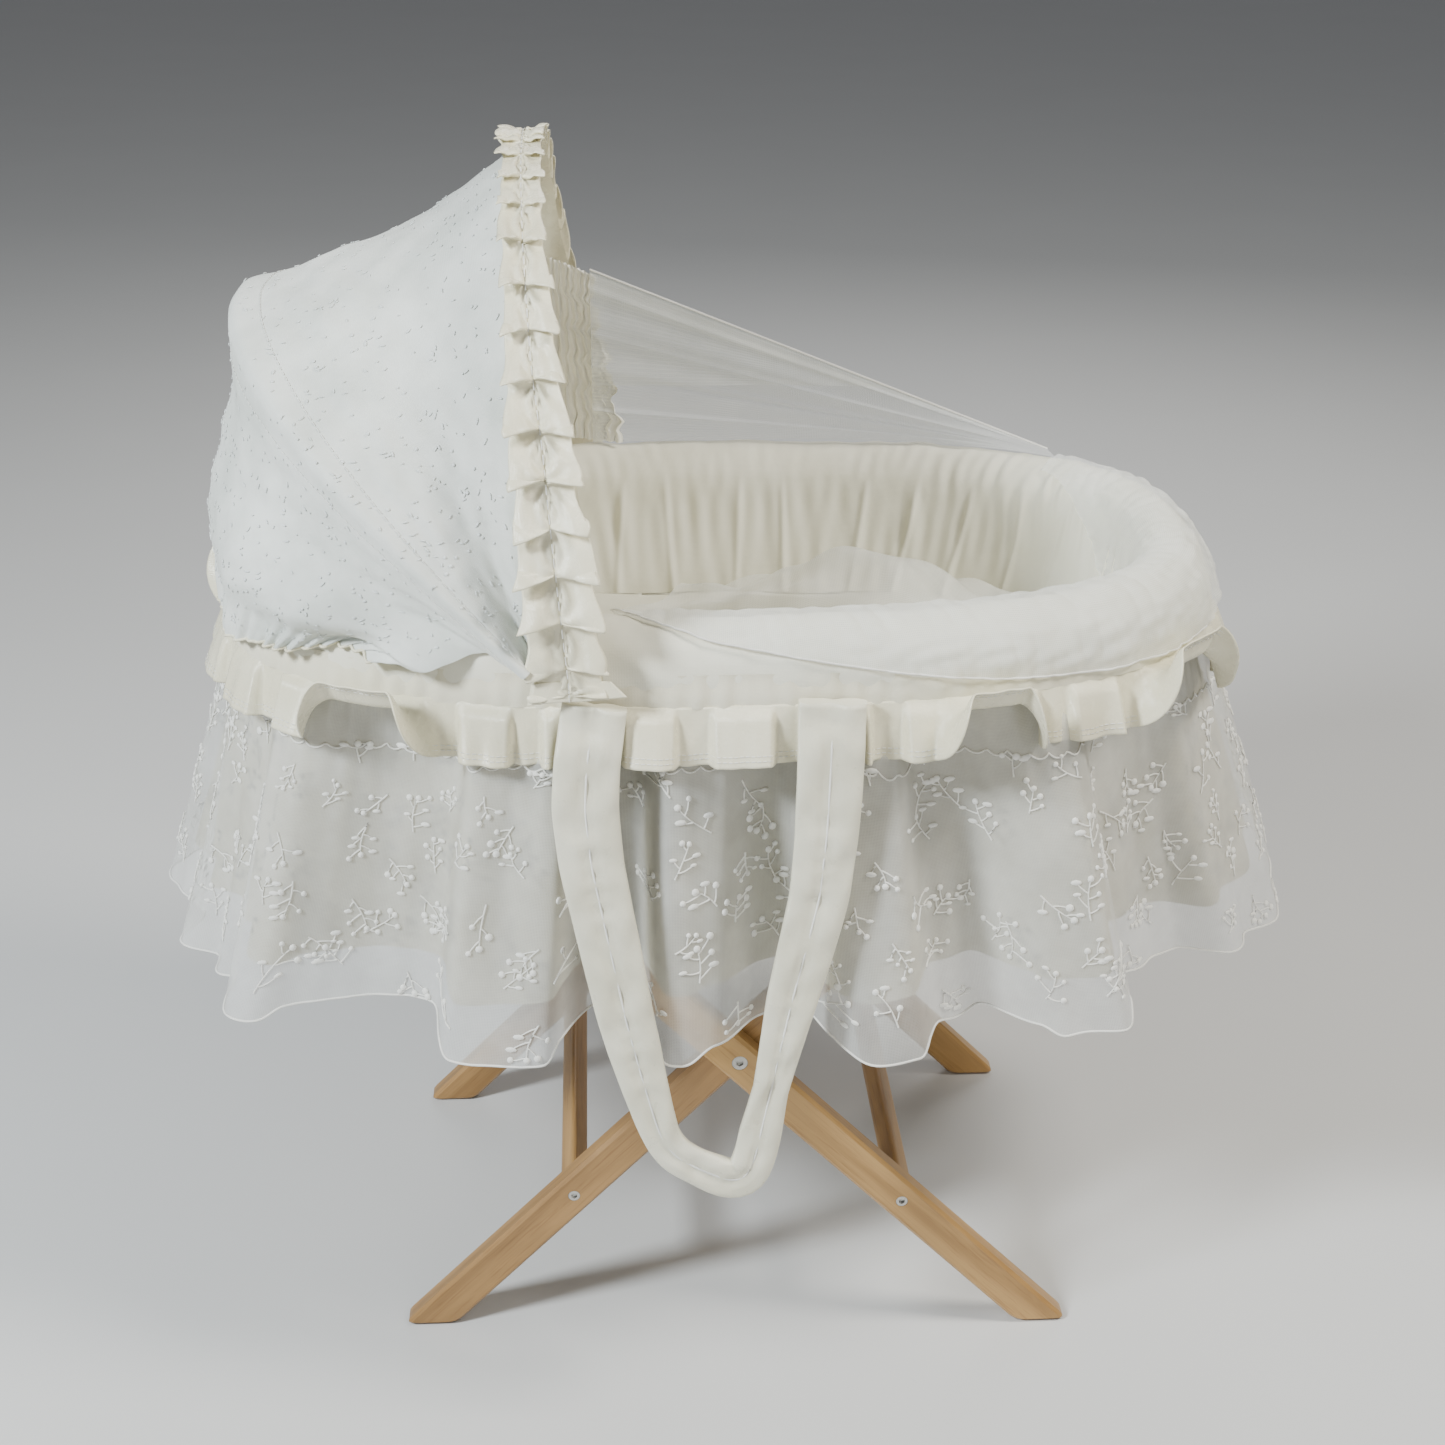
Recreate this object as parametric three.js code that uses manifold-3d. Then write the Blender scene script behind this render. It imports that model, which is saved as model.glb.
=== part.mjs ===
// Moses basket with a folding hood and a dressed skirt, on a folding X-frame wooden stand.
// Millimetres, +Z up, X along the basket (foot end at +X, hood at -X), Y across it.
// The origin is on the floor under the middle of the stand.
import * as THREE from 'three';
import { mergeVertices } from 'three/addons/utils/BufferGeometryUtils.js';
import Module from 'manifold-3d';

const wasm = await Module();
wasm.setup();

const degrees = Math.PI / 180;
const gap = 0.3; // clearance between pieces that would touch

// ---- driving dimensions: stand ----
const stand = {
  width: 412, // over the outer legs, across Y
  legAngle: 45.9 * degrees, // above the floor
  pivotHeight: 281,
  legWidth: 34,
  legThickness: 20,
  legSpacer: 1.5, // room for the washer between an outer and an inner leg
  lowerBar: 203, // bar axis to pivot, along the leg
  upperBar: 244,
  legTop: 304, // top end to pivot, along the leg
  barSize: 18,
  barCorner: 4,
};
// ---- driving dimensions: basket rim, an oval through the middle of the padded roll ----
const rim = { a: 377, b: 216, x: -6, z: 650, roll: 30, exponent: 2.6 };
const basketFloor = 470; // underside of the woven base
// ---- driving dimensions: hood, two hoops that turn about one axis along Y ----
const hood = {
  x: -148,
  z: 652,
  frontAngle: 92.4 * degrees, // hoop plane, from +X
  rearAngle: 136.6 * degrees,
  exponent: 2.2,
  front: { radius: 338, halfWidth: 252.5 },
  rear: { radius: 322, halfWidth: 246 },
  clothFront: { radius: 344.5, halfWidth: 258.5 },
  clothRear: { radius: 329, halfWidth: 258.5 },
  wire: 2.5,
};
// ---- driving dimensions: skirt and carry handles ----
const skirt = { top: 624, laceHem: 345, liningHem: 385, laceA: 497, laceB: 281, liningA: 474, liningB: 262 };
const handle = { x: -26, spacing: 184, strap: 44, thickness: 6, top: 621, bottom: 241, topY: 266, bottomY: 305 };

const group = new THREE.Group();
const beech = new THREE.MeshStandardMaterial({ color: 0xb98a4e, roughness: 0.55, metalness: 0 });
const steel = new THREE.MeshStandardMaterial({ color: 0xb8b8b4, roughness: 0.35, metalness: 0.9 });
const wicker = new THREE.MeshStandardMaterial({ color: 0xc9b287, roughness: 0.8, metalness: 0 });
const cotton = new THREE.MeshStandardMaterial({ color: 0xf0eee0, roughness: 0.9, metalness: 0 });
const satin = new THREE.MeshStandardMaterial({ color: 0xf1ecd8, roughness: 0.5, metalness: 0 });
const lace = new THREE.MeshStandardMaterial({ color: 0xe4e6df, roughness: 0.8, metalness: 0 });
const net = new THREE.MeshStandardMaterial({ color: 0xdfe4e2, roughness: 0.9, metalness: 0 });
const webbing = new THREE.MeshStandardMaterial({ color: 0xe6dfc8, roughness: 0.85, metalness: 0 });
const cane = new THREE.MeshStandardMaterial({ color: 0xd8c9a0, roughness: 0.6, metalness: 0 });

// ---- geometry helpers ----
function addPiece(name, geometry, material) {
  const mesh = new THREE.Mesh(geometry, material);
  mesh.name = name;
  group.add(mesh);
}

function closedGeometry(vertices, triangles) {
  const [p, q, r] = [new THREE.Vector3(), new THREE.Vector3(), new THREE.Vector3()];
  let volume = 0;
  for (const [i, j, k] of triangles) {
    volume += p.fromArray(vertices[i]).dot(q.fromArray(vertices[j]).cross(r.fromArray(vertices[k])));
  }
  const facing = volume < 0 ? triangles.map(([i, j, k]) => [i, k, j]) : triangles;
  const geometry = new THREE.BufferGeometry();
  geometry.setAttribute('position', new THREE.Float32BufferAttribute(vertices.flat(), 3));
  geometry.setIndex(facing.flat());
  geometry.computeVertexNormals();
  return geometry;
}

function toSolid(geometry) {
  const plain = new THREE.BufferGeometry();
  plain.setAttribute('position', geometry.getAttribute('position'));
  plain.setIndex(geometry.getIndex());
  const merged = mergeVertices(plain, 1e-4);
  return new wasm.Manifold(new wasm.Mesh({
    numProp: 3,
    vertProperties: merged.getAttribute('position').array,
    triVerts: new Uint32Array(merged.getIndex().array),
  }));
}

function toGeometry(solid) {
  const mesh = solid.getMesh();
  const geometry = new THREE.BufferGeometry();
  geometry.setAttribute('position', new THREE.BufferAttribute(mesh.vertProperties, 3));
  geometry.setIndex(new THREE.BufferAttribute(mesh.triVerts, 1));
  geometry.computeVertexNormals();
  return geometry;
}

const power = (value, exponent) => Math.sign(value) * Math.abs(value) ** exponent;

function ovalPoint(a, b, x, angle) {
  const e = 2 / rim.exponent;
  return [x + a * power(Math.cos(angle), e), b * power(Math.sin(angle), e)];
}

// A closed loop of stations {a, b, z, x} carried round the basket's oval.
function ovalRing(stations, steps = 48) {
  const vertices = [];
  const triangles = [];
  const n = stations.length;
  for (let i = 0; i < steps; i += 1) {
    for (const { a, b, z, x = rim.x } of stations) {
      const [px, py] = ovalPoint(a, b, x, (i / steps) * 2 * Math.PI);
      vertices.push([px, py, z]);
    }
  }
  for (let i = 0; i < steps; i += 1) {
    for (let j = 0; j < n; j += 1) {
      const [p, q] = [i * n + j, i * n + ((j + 1) % n)];
      const next = ((i + 1) % steps) * n;
      const [r, s] = [next + ((j + 1) % n), next + j];
      triangles.push([p, q, r], [p, r, s]);
    }
  }
  return closedGeometry(vertices, triangles);
}

// Stations given as [offset outward from the rim's oval, height].
const atOffsets = (pairs) => pairs.map(([offset, z]) => ({ a: rim.a + offset, b: rim.b + offset, z }));

// A hanging wall of cloth: levels from the top down, with its thickness inward.
function clothWall(levels, thickness, steps) {
  const inner = levels.map(({ a, b, z, x }) => ({ a: a - thickness, b: b - thickness, z, x }));
  return ovalRing([...levels, ...inner.reverse()], steps);
}

// A sheet over surface(u, v), u and v from 0 to 1, thickened by half on each side.
function sheet(surface, across, along, thickness) {
  const point = (i, j) => new THREE.Vector3(...surface(i / across, j / along));
  const [front, back, triangles] = [[], [], []];
  for (let i = 0; i <= across; i += 1) {
    for (let j = 0; j <= along; j += 1) {
      const du = point(Math.min(i + 1, across), j).sub(point(Math.max(i - 1, 0), j));
      const dv = point(i, Math.min(j + 1, along)).sub(point(i, Math.max(j - 1, 0)));
      const shift = du.cross(dv).normalize().multiplyScalar(thickness / 2);
      front.push(point(i, j).add(shift).toArray());
      back.push(point(i, j).sub(shift).toArray());
    }
  }
  const width = along + 1;
  const other = front.length;
  const quad = (p, q, r, s) => triangles.push([p, q, r], [p, r, s]);
  for (let i = 0; i < across; i += 1) {
    for (let j = 0; j < along; j += 1) {
      const [p, q, r, s] = [i * width + j, (i + 1) * width + j, (i + 1) * width + j + 1, i * width + j + 1];
      quad(p, q, r, s);
      quad(other + s, other + r, other + q, other + p);
    }
  }
  for (let i = 0; i < across; i += 1) {
    const [p, q] = [i * width, (i + 1) * width];
    quad(q, p, other + p, other + q);
    quad(p + along, q + along, other + q + along, other + p + along);
  }
  for (let j = 0; j < along; j += 1) {
    const last = across * width;
    quad(j, j + 1, other + j + 1, other + j);
    quad(last + j + 1, last + j, other + last + j, other + last + j + 1);
  }
  return closedGeometry([...front, ...back], triangles);
}

function roundedShape(corners, radius) {
  const shape = new THREE.Shape();
  corners.forEach((corner, i) => {
    const before = corners.at(i - 1);
    const after = corners[(i + 1) % corners.length];
    const r = Array.isArray(radius) ? radius[i] : radius;
    const start = corner.clone().add(before.clone().sub(corner).setLength(r));
    const end = corner.clone().add(after.clone().sub(corner).setLength(r));
    if (i === 0) shape.moveTo(start.x, start.y);
    else shape.lineTo(start.x, start.y);
    shape.quadraticCurveTo(corner.x, corner.y, end.x, end.y);
  });
  shape.closePath();
  return shape;
}

// Extrudes a shape drawn in X and Z from y = from to y = to, with its long edges eased.
function acrossY(shape, from, to, ease = 0, curveSegments = 4) {
  const geometry = new THREE.ExtrudeGeometry(shape, {
    depth: to - from - 2 * ease,
    bevelEnabled: ease > 0,
    bevelThickness: ease,
    bevelSize: ease,
    bevelOffset: -ease,
    bevelSegments: 1,
    curveSegments,
  });
  return geometry.rotateX(Math.PI / 2).translate(0, to - ease, 0);
}

// A turned piece on an axis along Y: profile of [radius, y].
function turnedY(profile, x, z, segments = 16) {
  const points = profile.map(([r, y]) => new THREE.Vector2(r, y));
  return new THREE.LatheGeometry(points, segments).translate(x, 0, z);
}

function rodY(radius, from, to, x, z, segments = 16) {
  return turnedY([[0, from], [radius, from], [radius, to], [0, to]], x, z, segments);
}

// Cuts each tool from a piece and returns the piece's geometry.
function cut(geometry, ...tools) {
  let solid = toSolid(geometry);
  for (const tool of tools) solid = solid.subtract(toSolid(tool));
  return toGeometry(solid);
}

function join(...geometries) {
  const solids = geometries.map(toSolid);
  return toGeometry(solids.reduce((whole, next) => whole.add(next)));
}

// ---- stand ----
const along = new THREE.Vector2(Math.cos(stand.legAngle), Math.sin(stand.legAngle));
const square = new THREE.Vector2(-along.y, along.x);
const outerFace = stand.width / 2;
const innerFace = outerFace - stand.legThickness - stand.legSpacer;
const screw = { head: 5, headDepth: 4.6, shank: 2.6, length: 42, socket: 2.9, socketDepth: 2.8 };
const pivotBolt = { head: 6.5, headDepth: 4, shank: 4, socket: 3.4, socketDepth: 2.6 };

// Point on a leg's centreline, at a distance up from the pivot. side is 1 where the leg rises towards +X.
function onLeg(distance, side) {
  return { x: side * distance * along.x, z: stand.pivotHeight + distance * along.y };
}

function legShape(side) {
  const half = stand.legWidth / 2;
  const edge = (distance, offset) => along.clone().multiplyScalar(distance)
    .addScaledVector(square, offset).add(new THREE.Vector2(0, stand.pivotHeight));
  const onFloor = (offset) => edge(-(stand.pivotHeight + offset * square.y) / along.y, offset);
  const corners = [onFloor(-half), edge(stand.legTop, -half), edge(stand.legTop, half), onFloor(half)];
  const radii = [9, 10, 10, 12];
  corners.forEach((corner) => { corner.x *= side; });
  return roundedShape(corners, radii);
}

// y0 and y1 are the leg's faces; outward is -1 or 1, the way its outer face looks.
function leg(name, side, y0, y1, outward, hasPivotHead) {
  const headFace = outward > 0 ? y1 : y0;
  const tools = [stand.upperBar, -stand.lowerBar].flatMap((distance) => {
    const { x, z } = onLeg(distance, side);
    const recess = headFace - outward * (screw.headDepth + 0.4);
    return [rodY(screw.shank + gap, y0 - 1, y1 + 1, x, z), spanY(screw.head + gap, recess, headFace + outward, x, z)];
  });
  tools.push(rodY(pivotBolt.shank + gap, y0 - 1, y1 + 1, 0, stand.pivotHeight));
  if (hasPivotHead) {
    const recess = headFace - outward * (pivotBolt.headDepth + 0.4);
    tools.push(spanY(pivotBolt.head + gap, recess, headFace + outward, 0, stand.pivotHeight, 28));
  }
  addPiece(name, cut(acrossY(legShape(side), y0, y1, 3), ...tools), beech);
}

function spanY(radius, y0, y1, x, z, segments) {
  return rodY(radius, Math.min(y0, y1), Math.max(y0, y1), x, z, segments);
}

function bar(name, distance, side, half) {
  const s = stand.barSize / 2;
  const corners = [[-s, -s], [s, -s], [s, s], [-s, s]].map(([x, y]) => new THREE.Vector2(x, y));
  const { x, z } = onLeg(distance, side);
  const body = acrossY(roundedShape(corners, stand.barCorner), -half, half)
    .rotateY(-side * stand.legAngle).translate(x, 0, z);
  const bore = (end) => spanY(screw.shank + gap, end * (half + 1), end * (half - screw.length + 15), x, z, 12);
  addPiece(name, cut(body, bore(-1), bore(1)), beech);
}

function hexSocket(radius, depth, face, outward, x, z) {
  return spanY(radius, face - outward * depth, face + outward, x, z, 6);
}

function barScrew(name, distance, side, face, outward) {
  const { x, z } = onLeg(distance, side);
  const top = face - outward * 0.2;
  const under = top - outward * screw.headDepth;
  const body = join(
    spanY(screw.head, under, top, x, z),
    spanY(screw.shank, under + outward, top - outward * screw.length, x, z, 12),
  );
  addPiece(name, cut(body, hexSocket(screw.socket, screw.socketDepth, top, outward, x, z)), steel);
}

function pivotSet(end, outward) {
  const z = stand.pivotHeight;
  const top = outward * (outerFace - 0.2);
  const under = top - outward * pivotBolt.headDepth;
  const tip = outward * (innerFace - stand.legThickness - 9);
  const bolt = join(
    spanY(pivotBolt.head, under, top, 0, z, 28),
    spanY(pivotBolt.shank, under + outward, tip, 0, z, 16),
  );
  addPiece(`pivot_bolt_${end}`, cut(bolt, hexSocket(pivotBolt.socket, pivotBolt.socketDepth, top, outward, 0, z)), steel);
  const hole = rodY(pivotBolt.shank + gap, -outerFace, outerFace, 0, z, 16);
  const washerFace = outward * (innerFace + gap);
  addPiece(`pivot_washer_${end}`, cut(spanY(10, washerFace, washerFace + outward * 0.9, 0, z, 24), hole), steel);
  const nutFace = outward * (innerFace - stand.legThickness - gap);
  addPiece(`pivot_nut_${end}`, cut(spanY(7.5, nutFace, nutFace - outward * 6.5, 0, z, 6), hole), steel);
}

// A webbing strap over both upper bars, looped round each, that stops the legs spreading.
function webbingStrap(name, y) {
  const { x, z } = onLeg(stand.upperBar, 1);
  const [inside, outside, width] = [11.6, 13.2, 30];
  const strip = new THREE.BoxGeometry(2 * x, width, outside - inside).translate(0, y, z + (inside + outside) / 2);
  const loops = [-x, x].map((centre) => rodY(outside, y - width / 2, y + width / 2, centre, z, 20));
  const eyes = [-x, x].map((centre) => rodY(inside, y - width, y + width, centre, z, 20));
  addPiece(name, cut(join(strip, ...loops), ...eyes), webbing);
}

function buildStand() {
  const frames = [
    { kind: 'inner', side: 1, face: innerFace },
    { kind: 'outer', side: -1, face: outerFace },
  ];
  for (const { kind, side, face } of frames) {
    for (const [end, outward] of [['near', -1], ['far', 1]]) {
      const [y0, y1] = [outward * face, outward * (face - stand.legThickness)].sort((p, q) => p - q);
      leg(`leg_${kind}_${end}`, side, y0, y1, outward, kind === 'outer');
      barScrew(`screw_${kind}_upper_${end}`, stand.upperBar, side, outward * face, outward);
      barScrew(`screw_${kind}_lower_${end}`, -stand.lowerBar, side, outward * face, outward);
    }
    const half = face - stand.legThickness - gap;
    bar(`bar_${kind}_upper`, stand.upperBar, side, half);
    bar(`bar_${kind}_lower`, -stand.lowerBar, side, half);
  }
  pivotSet('near', -1);
  pivotSet('far', 1);
  webbingStrap('webbing_strap_near', -90);
  webbingStrap('webbing_strap_far', 90);
}

// ---- woven basket and bedding ----
function ovalPad(a, b, z0, z1, ease, crown) {
  const stations = [];
  const turn = 3;
  const edge = (inset, z) => ({ a: a - inset, b: b - inset, z });
  for (let i = 0; i <= turn; i += 1) {
    const angle = (i / turn) * Math.PI / 2;
    stations.push(edge(ease * (1 - Math.sin(angle)), z0 + ease * (1 - Math.cos(angle))));
  }
  for (let i = 0; i <= turn; i += 1) {
    const angle = (i / turn) * Math.PI / 2;
    stations.push(edge(ease * (1 - Math.cos(angle)), z1 - ease * (1 - Math.sin(angle))));
  }
  stations.push({ a: a * 0.5, b: b * 0.5, z: z1 + crown });
  return cappedOval(stations);
}

// Stations from the bottom up, closed by a flat floor and a flat top.
function cappedOval(stations, steps = 40) {
  const vertices = [];
  const triangles = [];
  for (const { a, b, z } of stations) {
    for (let i = 0; i < steps; i += 1) {
      const [x, y] = ovalPoint(a, b, rim.x, (i / steps) * 2 * Math.PI);
      vertices.push([x, y, z]);
    }
  }
  const last = (stations.length - 1) * steps;
  for (let row = 0; row < stations.length - 1; row += 1) {
    for (let i = 0; i < steps; i += 1) {
      const [p, q] = [row * steps + i, row * steps + ((i + 1) % steps)];
      triangles.push([p, q, q + steps], [p, q + steps, p + steps]);
    }
  }
  const floor = vertices.push([rim.x, 0, stations[0].z]) - 1;
  const top = vertices.push([rim.x, 0, stations.at(-1).z]) - 1;
  for (let i = 0; i < steps; i += 1) {
    const next = (i + 1) % steps;
    triangles.push([floor, next, i], [top, last + i, last + next]);
  }
  return closedGeometry(vertices, triangles);
}

function buildBasket() {
  const wallFoot = -62; // the woven wall leans in by this much at its foot
  const half = 3.5; // half the weave's thickness
  addPiece('wicker_base', cappedOval([
    { a: rim.a + wallFoot + half, b: rim.b + wallFoot + half, z: basketFloor },
    { a: rim.a + wallFoot + half, b: rim.b + wallFoot + half, z: basketFloor + 7.5 },
  ]), wicker);
  addPiece('wicker_wall', ovalRing(atOffsets([
    [wallFoot + half, basketFloor + 7.8], [half, rim.z - 11.5],
    [-half, rim.z - 11.5], [wallFoot - half, basketFloor + 7.8],
  ])), wicker);
  const border = Array.from({ length: 8 }, (_, i) => {
    const angle = (i / 8) * 2 * Math.PI;
    return [11 * Math.cos(angle), rim.z + 11 * Math.sin(angle)];
  });
  addPiece('wicker_rim', ovalRing(atOffsets(border)), wicker);
  addPiece('mattress', ovalPad(304, 143, basketFloor + 8, 528, 12, 2), cotton);
  addPiece('quilt', ovalPad(314, 153, 530.8, 566, 14, 10), cotton);
  addPiece('bumper_liner', ovalRing(atOffsets([
    [29, 626], [rim.roll, 655], [26, 672], [15, 683], [0, 686], [-15, 682], [-26, 670], [-rim.roll, 652],
    [-38, 605], [-58, 545], [-60, 534], [-49, 534], [-21.5, 606], [-12.5, 640], [-12.5, 662],
    [0, 667], [12.5, 662], [14, 640], [15, 626],
  ]), 56), cotton);
}

// ---- skirt ----
function buildSkirt() {
  addPiece('rim_band', ovalRing(atOffsets([[31, 627.8], [31, 640], [33, 640], [33, 627.8]])), cotton);
  addPiece('frill', ovalRing(atOffsets([[31, 627.4], [33, 627.4], [41, 606], [51, 583], [49, 583], [39, 606]])), satin);
  const spread = (hemA, hemB, hemZ, inset) => [0, 0.35, 1].map((share) => ({
    a: THREE.MathUtils.lerp(rim.a + inset, hemA, share),
    b: THREE.MathUtils.lerp(rim.b + inset, hemB, share),
    z: THREE.MathUtils.lerp(skirt.top, hemZ, share),
    x: THREE.MathUtils.lerp(rim.x, 0, share),
  }));
  addPiece('skirt_lace', clothWall(spread(skirt.laceA, skirt.laceB, skirt.laceHem, 29), 2), lace);
  addPiece('skirt_lining', clothWall(spread(skirt.liningA, skirt.liningB, skirt.liningHem, 25), 2), cotton);
}

// ---- hood ----
// Point on a hoop of the given size, in a plane at the given angle. t runs from 0 at the near side to PI at the far.
function onHoop({ radius, halfWidth }, angle, t) {
  const e = 2 / hood.exponent;
  const reach = radius * Math.abs(Math.sin(t)) ** e;
  return [
    hood.x + reach * Math.cos(angle),
    -halfWidth * power(Math.cos(t), e),
    hood.z + reach * Math.sin(angle),
  ];
}

function hoop(name, size, angle) {
  const clear = 6; // the wire starts this far from the axis, beside its eye
  const first = Math.asin((clear / size.radius) ** (hood.exponent / 2));
  const stations = Array.from({ length: 41 }, (_, i) => first + (i / 40) * (Math.PI - 2 * first));
  const path = new THREE.CatmullRomCurve3(stations.map((t) => new THREE.Vector3(...onHoop(size, angle, t))));
  const section = new THREE.Shape().absarc(0, 0, hood.wire, 0, 2 * Math.PI);
  const wire = new THREE.ExtrudeGeometry(section, { extrudePath: path, steps: 40, curveSegments: 3 });
  const eyes = [-1, 1].map((end) => spanY(7, end * (size.halfWidth - 1.5), end * (size.halfWidth + 1.5), hood.x, hood.z));
  const hole = rodY(2.4, -300, 300, hood.x, hood.z, 12);
  addPiece(name, cut(join(wire, ...eyes), hole), cane);
}

// The cloth's lower edge, round the head end of the rim, matched to the hoop's t.
function clothEdge({ offset, sideZ, headZ }, t) {
  const span = 1.98;
  const [x, y] = ovalPoint(rim.a + offset, rim.b + offset, rim.x, -Math.PI + span / 2 - (t / Math.PI) * span);
  return [x, y, THREE.MathUtils.lerp(sideZ, headZ, Math.sin(t) ** 2)];
}

// The hood cloth: u round the hoops, v from the front hoop over the rear one to the rim.
function hoodSurface(inset, start, edge) {
  const rearShare = 0.5;
  const size = ({ radius, halfWidth }) => ({ radius: radius - inset, halfWidth: halfWidth - inset });
  return (u, v) => {
    const t = start + u * (Math.PI - 2 * start);
    const rear = onHoop(size(hood.clothRear), hood.rearAngle, t);
    const share = v < rearShare ? v / rearShare : (v - rearShare) / (1 - rearShare);
    const [from, to] = v < rearShare
      ? [onHoop(size(hood.clothFront), hood.frontAngle, t), rear]
      : [rear, clothEdge(edge, t)];
    return from.map((value, k) => THREE.MathUtils.lerp(value, to[k], share));
  };
}

function ruffleArch() {
  // A flat band standing on the front edge of the hood, with tails below the axis.
  const size = { radius: 353.5, halfWidth: 266 };
  const half = { across: 26, through: 5 };
  const lift = [Math.cos(hood.frontAngle), 0, Math.sin(hood.frontAngle)];
  const forward = new THREE.Vector3(lift[2], 0, -lift[0]);
  const middle = (u) => {
    const tail = 0.04;
    if (u < tail || u > 1 - tail) {
      const y = (u < 0.5 ? -1 : 1) * size.halfWidth;
      const depth = (1 - Math.min(u, 1 - u) / tail) * 7;
      return new THREE.Vector3(hood.x, y, hood.z - depth);
    }
    const t = ((u - tail) / (1 - 2 * tail)) * Math.PI;
    return new THREE.Vector3(...onHoop(size, hood.frontAngle, t));
  };
  return sheet((u, v) => middle(u).addScaledVector(forward, (2 * v - 1) * half.across).toArray(), 40, 1, 2 * half.through);
}

function buildHood() {
  const coverEdge = { offset: 42, sideZ: 662, headZ: 630 };
  const liningEdge = { offset: 8, sideZ: 696, headZ: 692 };
  hoop('hood_front_hoop', hood.front, hood.frontAngle);
  hoop('hood_rear_hoop', hood.rear, hood.rearAngle);
  addPiece('hood_cover', sheet(hoodSurface(0, 0.09, coverEdge), 28, 4, 1.6), lace);
  addPiece('hood_lining', sheet(hoodSurface(16, 0.16, liningEdge), 24, 4, 1.4), cotton);
  addPiece('hood_ruffle', ruffleArch(), satin);
  for (const [end, outward] of [['near', -1], ['far', 1]]) {
    const plate = spanY(11, outward * 241.5, outward * 242.8, hood.x, hood.z);
    addPiece(`hood_hinge_plate_${end}`, cut(plate, rodY(2.3, -300, 300, hood.x, hood.z, 12)), steel);
    const rivet = join(
      spanY(2, outward * 241, outward * 255.6, hood.x, hood.z, 12),
      spanY(5, outward * 254.7, outward * 256.4, hood.x, hood.z, 16),
    );
    addPiece(`hood_rivet_${end}`, rivet, steel);
  }
}

// ---- netting ----
function buildNetting() {
  const [start, end] = [{ x: -112, y: 196, z: 850 }, { x: 292, y: 160, z: 696 }];
  addPiece('netting', sheet((u, v) => {
    const x = THREE.MathUtils.lerp(start.x, end.x, u);
    const reach = Math.abs((x - rim.x) / rim.a) ** rim.exponent;
    const rimY = rim.b * (1 - reach) ** (1 / rim.exponent);
    const top = [x, THREE.MathUtils.lerp(start.y, end.y, u), THREE.MathUtils.lerp(start.z, end.z, u)];
    return top.map((value, k) => THREE.MathUtils.lerp([x, rimY, 688.5][k], value, v));
  }, 16, 3, 1.4), net);
}

// ---- carry handles ----
function handleLoop(name, outward) {
  const half = handle.spacing / 2;
  const drop = handle.bottom - handle.top;
  const leg = [[half, 0], [half + 3, 0.22], [half - 9, 0.45], [half - 31, 0.68], [half - 55, 0.86]];
  const spine = new THREE.CatmullRomCurve3([
    ...leg.map(([x, share]) => new THREE.Vector3(-x, 0, share * drop)),
    new THREE.Vector3(0, 0, 0.94 * drop),
    ...leg.reverse().map(([x, share]) => new THREE.Vector3(x, 0, share * drop)),
  ]);
  addPiece(name, sheet((u, v) => {
    const point = spine.getPointAt(u);
    const tangent = spine.getTangentAt(u);
    const across = (v - 0.5) * handle.strap;
    const [x, z] = [point.x - tangent.z * across, point.z + tangent.x * across];
    const y = THREE.MathUtils.lerp(handle.topY, handle.bottomY, z / drop);
    return [handle.x + x, outward * y, handle.top + z];
  }, 32, 1, handle.thickness), satin);
}

function buildHandles() {
  for (const [end, outward] of [['near', -1], ['far', 1]]) {
    handleLoop(`carry_handle_${end}`, outward);
    for (const [place, side] of [['head', -1], ['foot', 1]]) {
      const tab = new THREE.BoxGeometry(handle.strap - 2, 2, 15)
        .translate(handle.x + (side * handle.spacing) / 2, outward * 260, handle.top - 9);
      addPiece(`handle_tab_${end}_${place}`, tab, satin);
    }
  }
}

buildStand();
buildBasket();
buildSkirt();
buildHood();
buildNetting();
buildHandles();

export default group;
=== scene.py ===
"""Looks for the bassinet on its folding stand: soft goods, embroidery, materials, light and camera.
Lengths inside the helpers are millimetres; meshes are made in metres, in the frame of the CAD model."""
import math
import bmesh
import bpy
import numpy as np
from mathutils import Matrix, Vector


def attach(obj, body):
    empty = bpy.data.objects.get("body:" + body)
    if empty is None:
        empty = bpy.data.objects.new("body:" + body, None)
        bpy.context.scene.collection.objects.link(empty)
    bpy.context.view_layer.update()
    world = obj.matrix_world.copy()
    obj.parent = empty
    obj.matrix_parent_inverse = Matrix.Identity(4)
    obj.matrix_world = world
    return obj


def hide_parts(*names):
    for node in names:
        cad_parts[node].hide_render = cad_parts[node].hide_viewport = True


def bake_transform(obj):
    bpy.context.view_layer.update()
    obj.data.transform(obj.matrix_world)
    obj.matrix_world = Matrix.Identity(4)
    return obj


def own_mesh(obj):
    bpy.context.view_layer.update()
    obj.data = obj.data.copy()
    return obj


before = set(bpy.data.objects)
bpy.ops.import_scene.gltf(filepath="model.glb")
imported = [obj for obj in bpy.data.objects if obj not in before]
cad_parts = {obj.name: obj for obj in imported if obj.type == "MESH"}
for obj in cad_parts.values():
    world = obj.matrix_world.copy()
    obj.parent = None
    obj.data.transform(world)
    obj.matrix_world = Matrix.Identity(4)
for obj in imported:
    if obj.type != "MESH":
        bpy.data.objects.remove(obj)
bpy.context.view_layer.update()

scene = bpy.context.scene
TAU = 2 * math.pi


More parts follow.
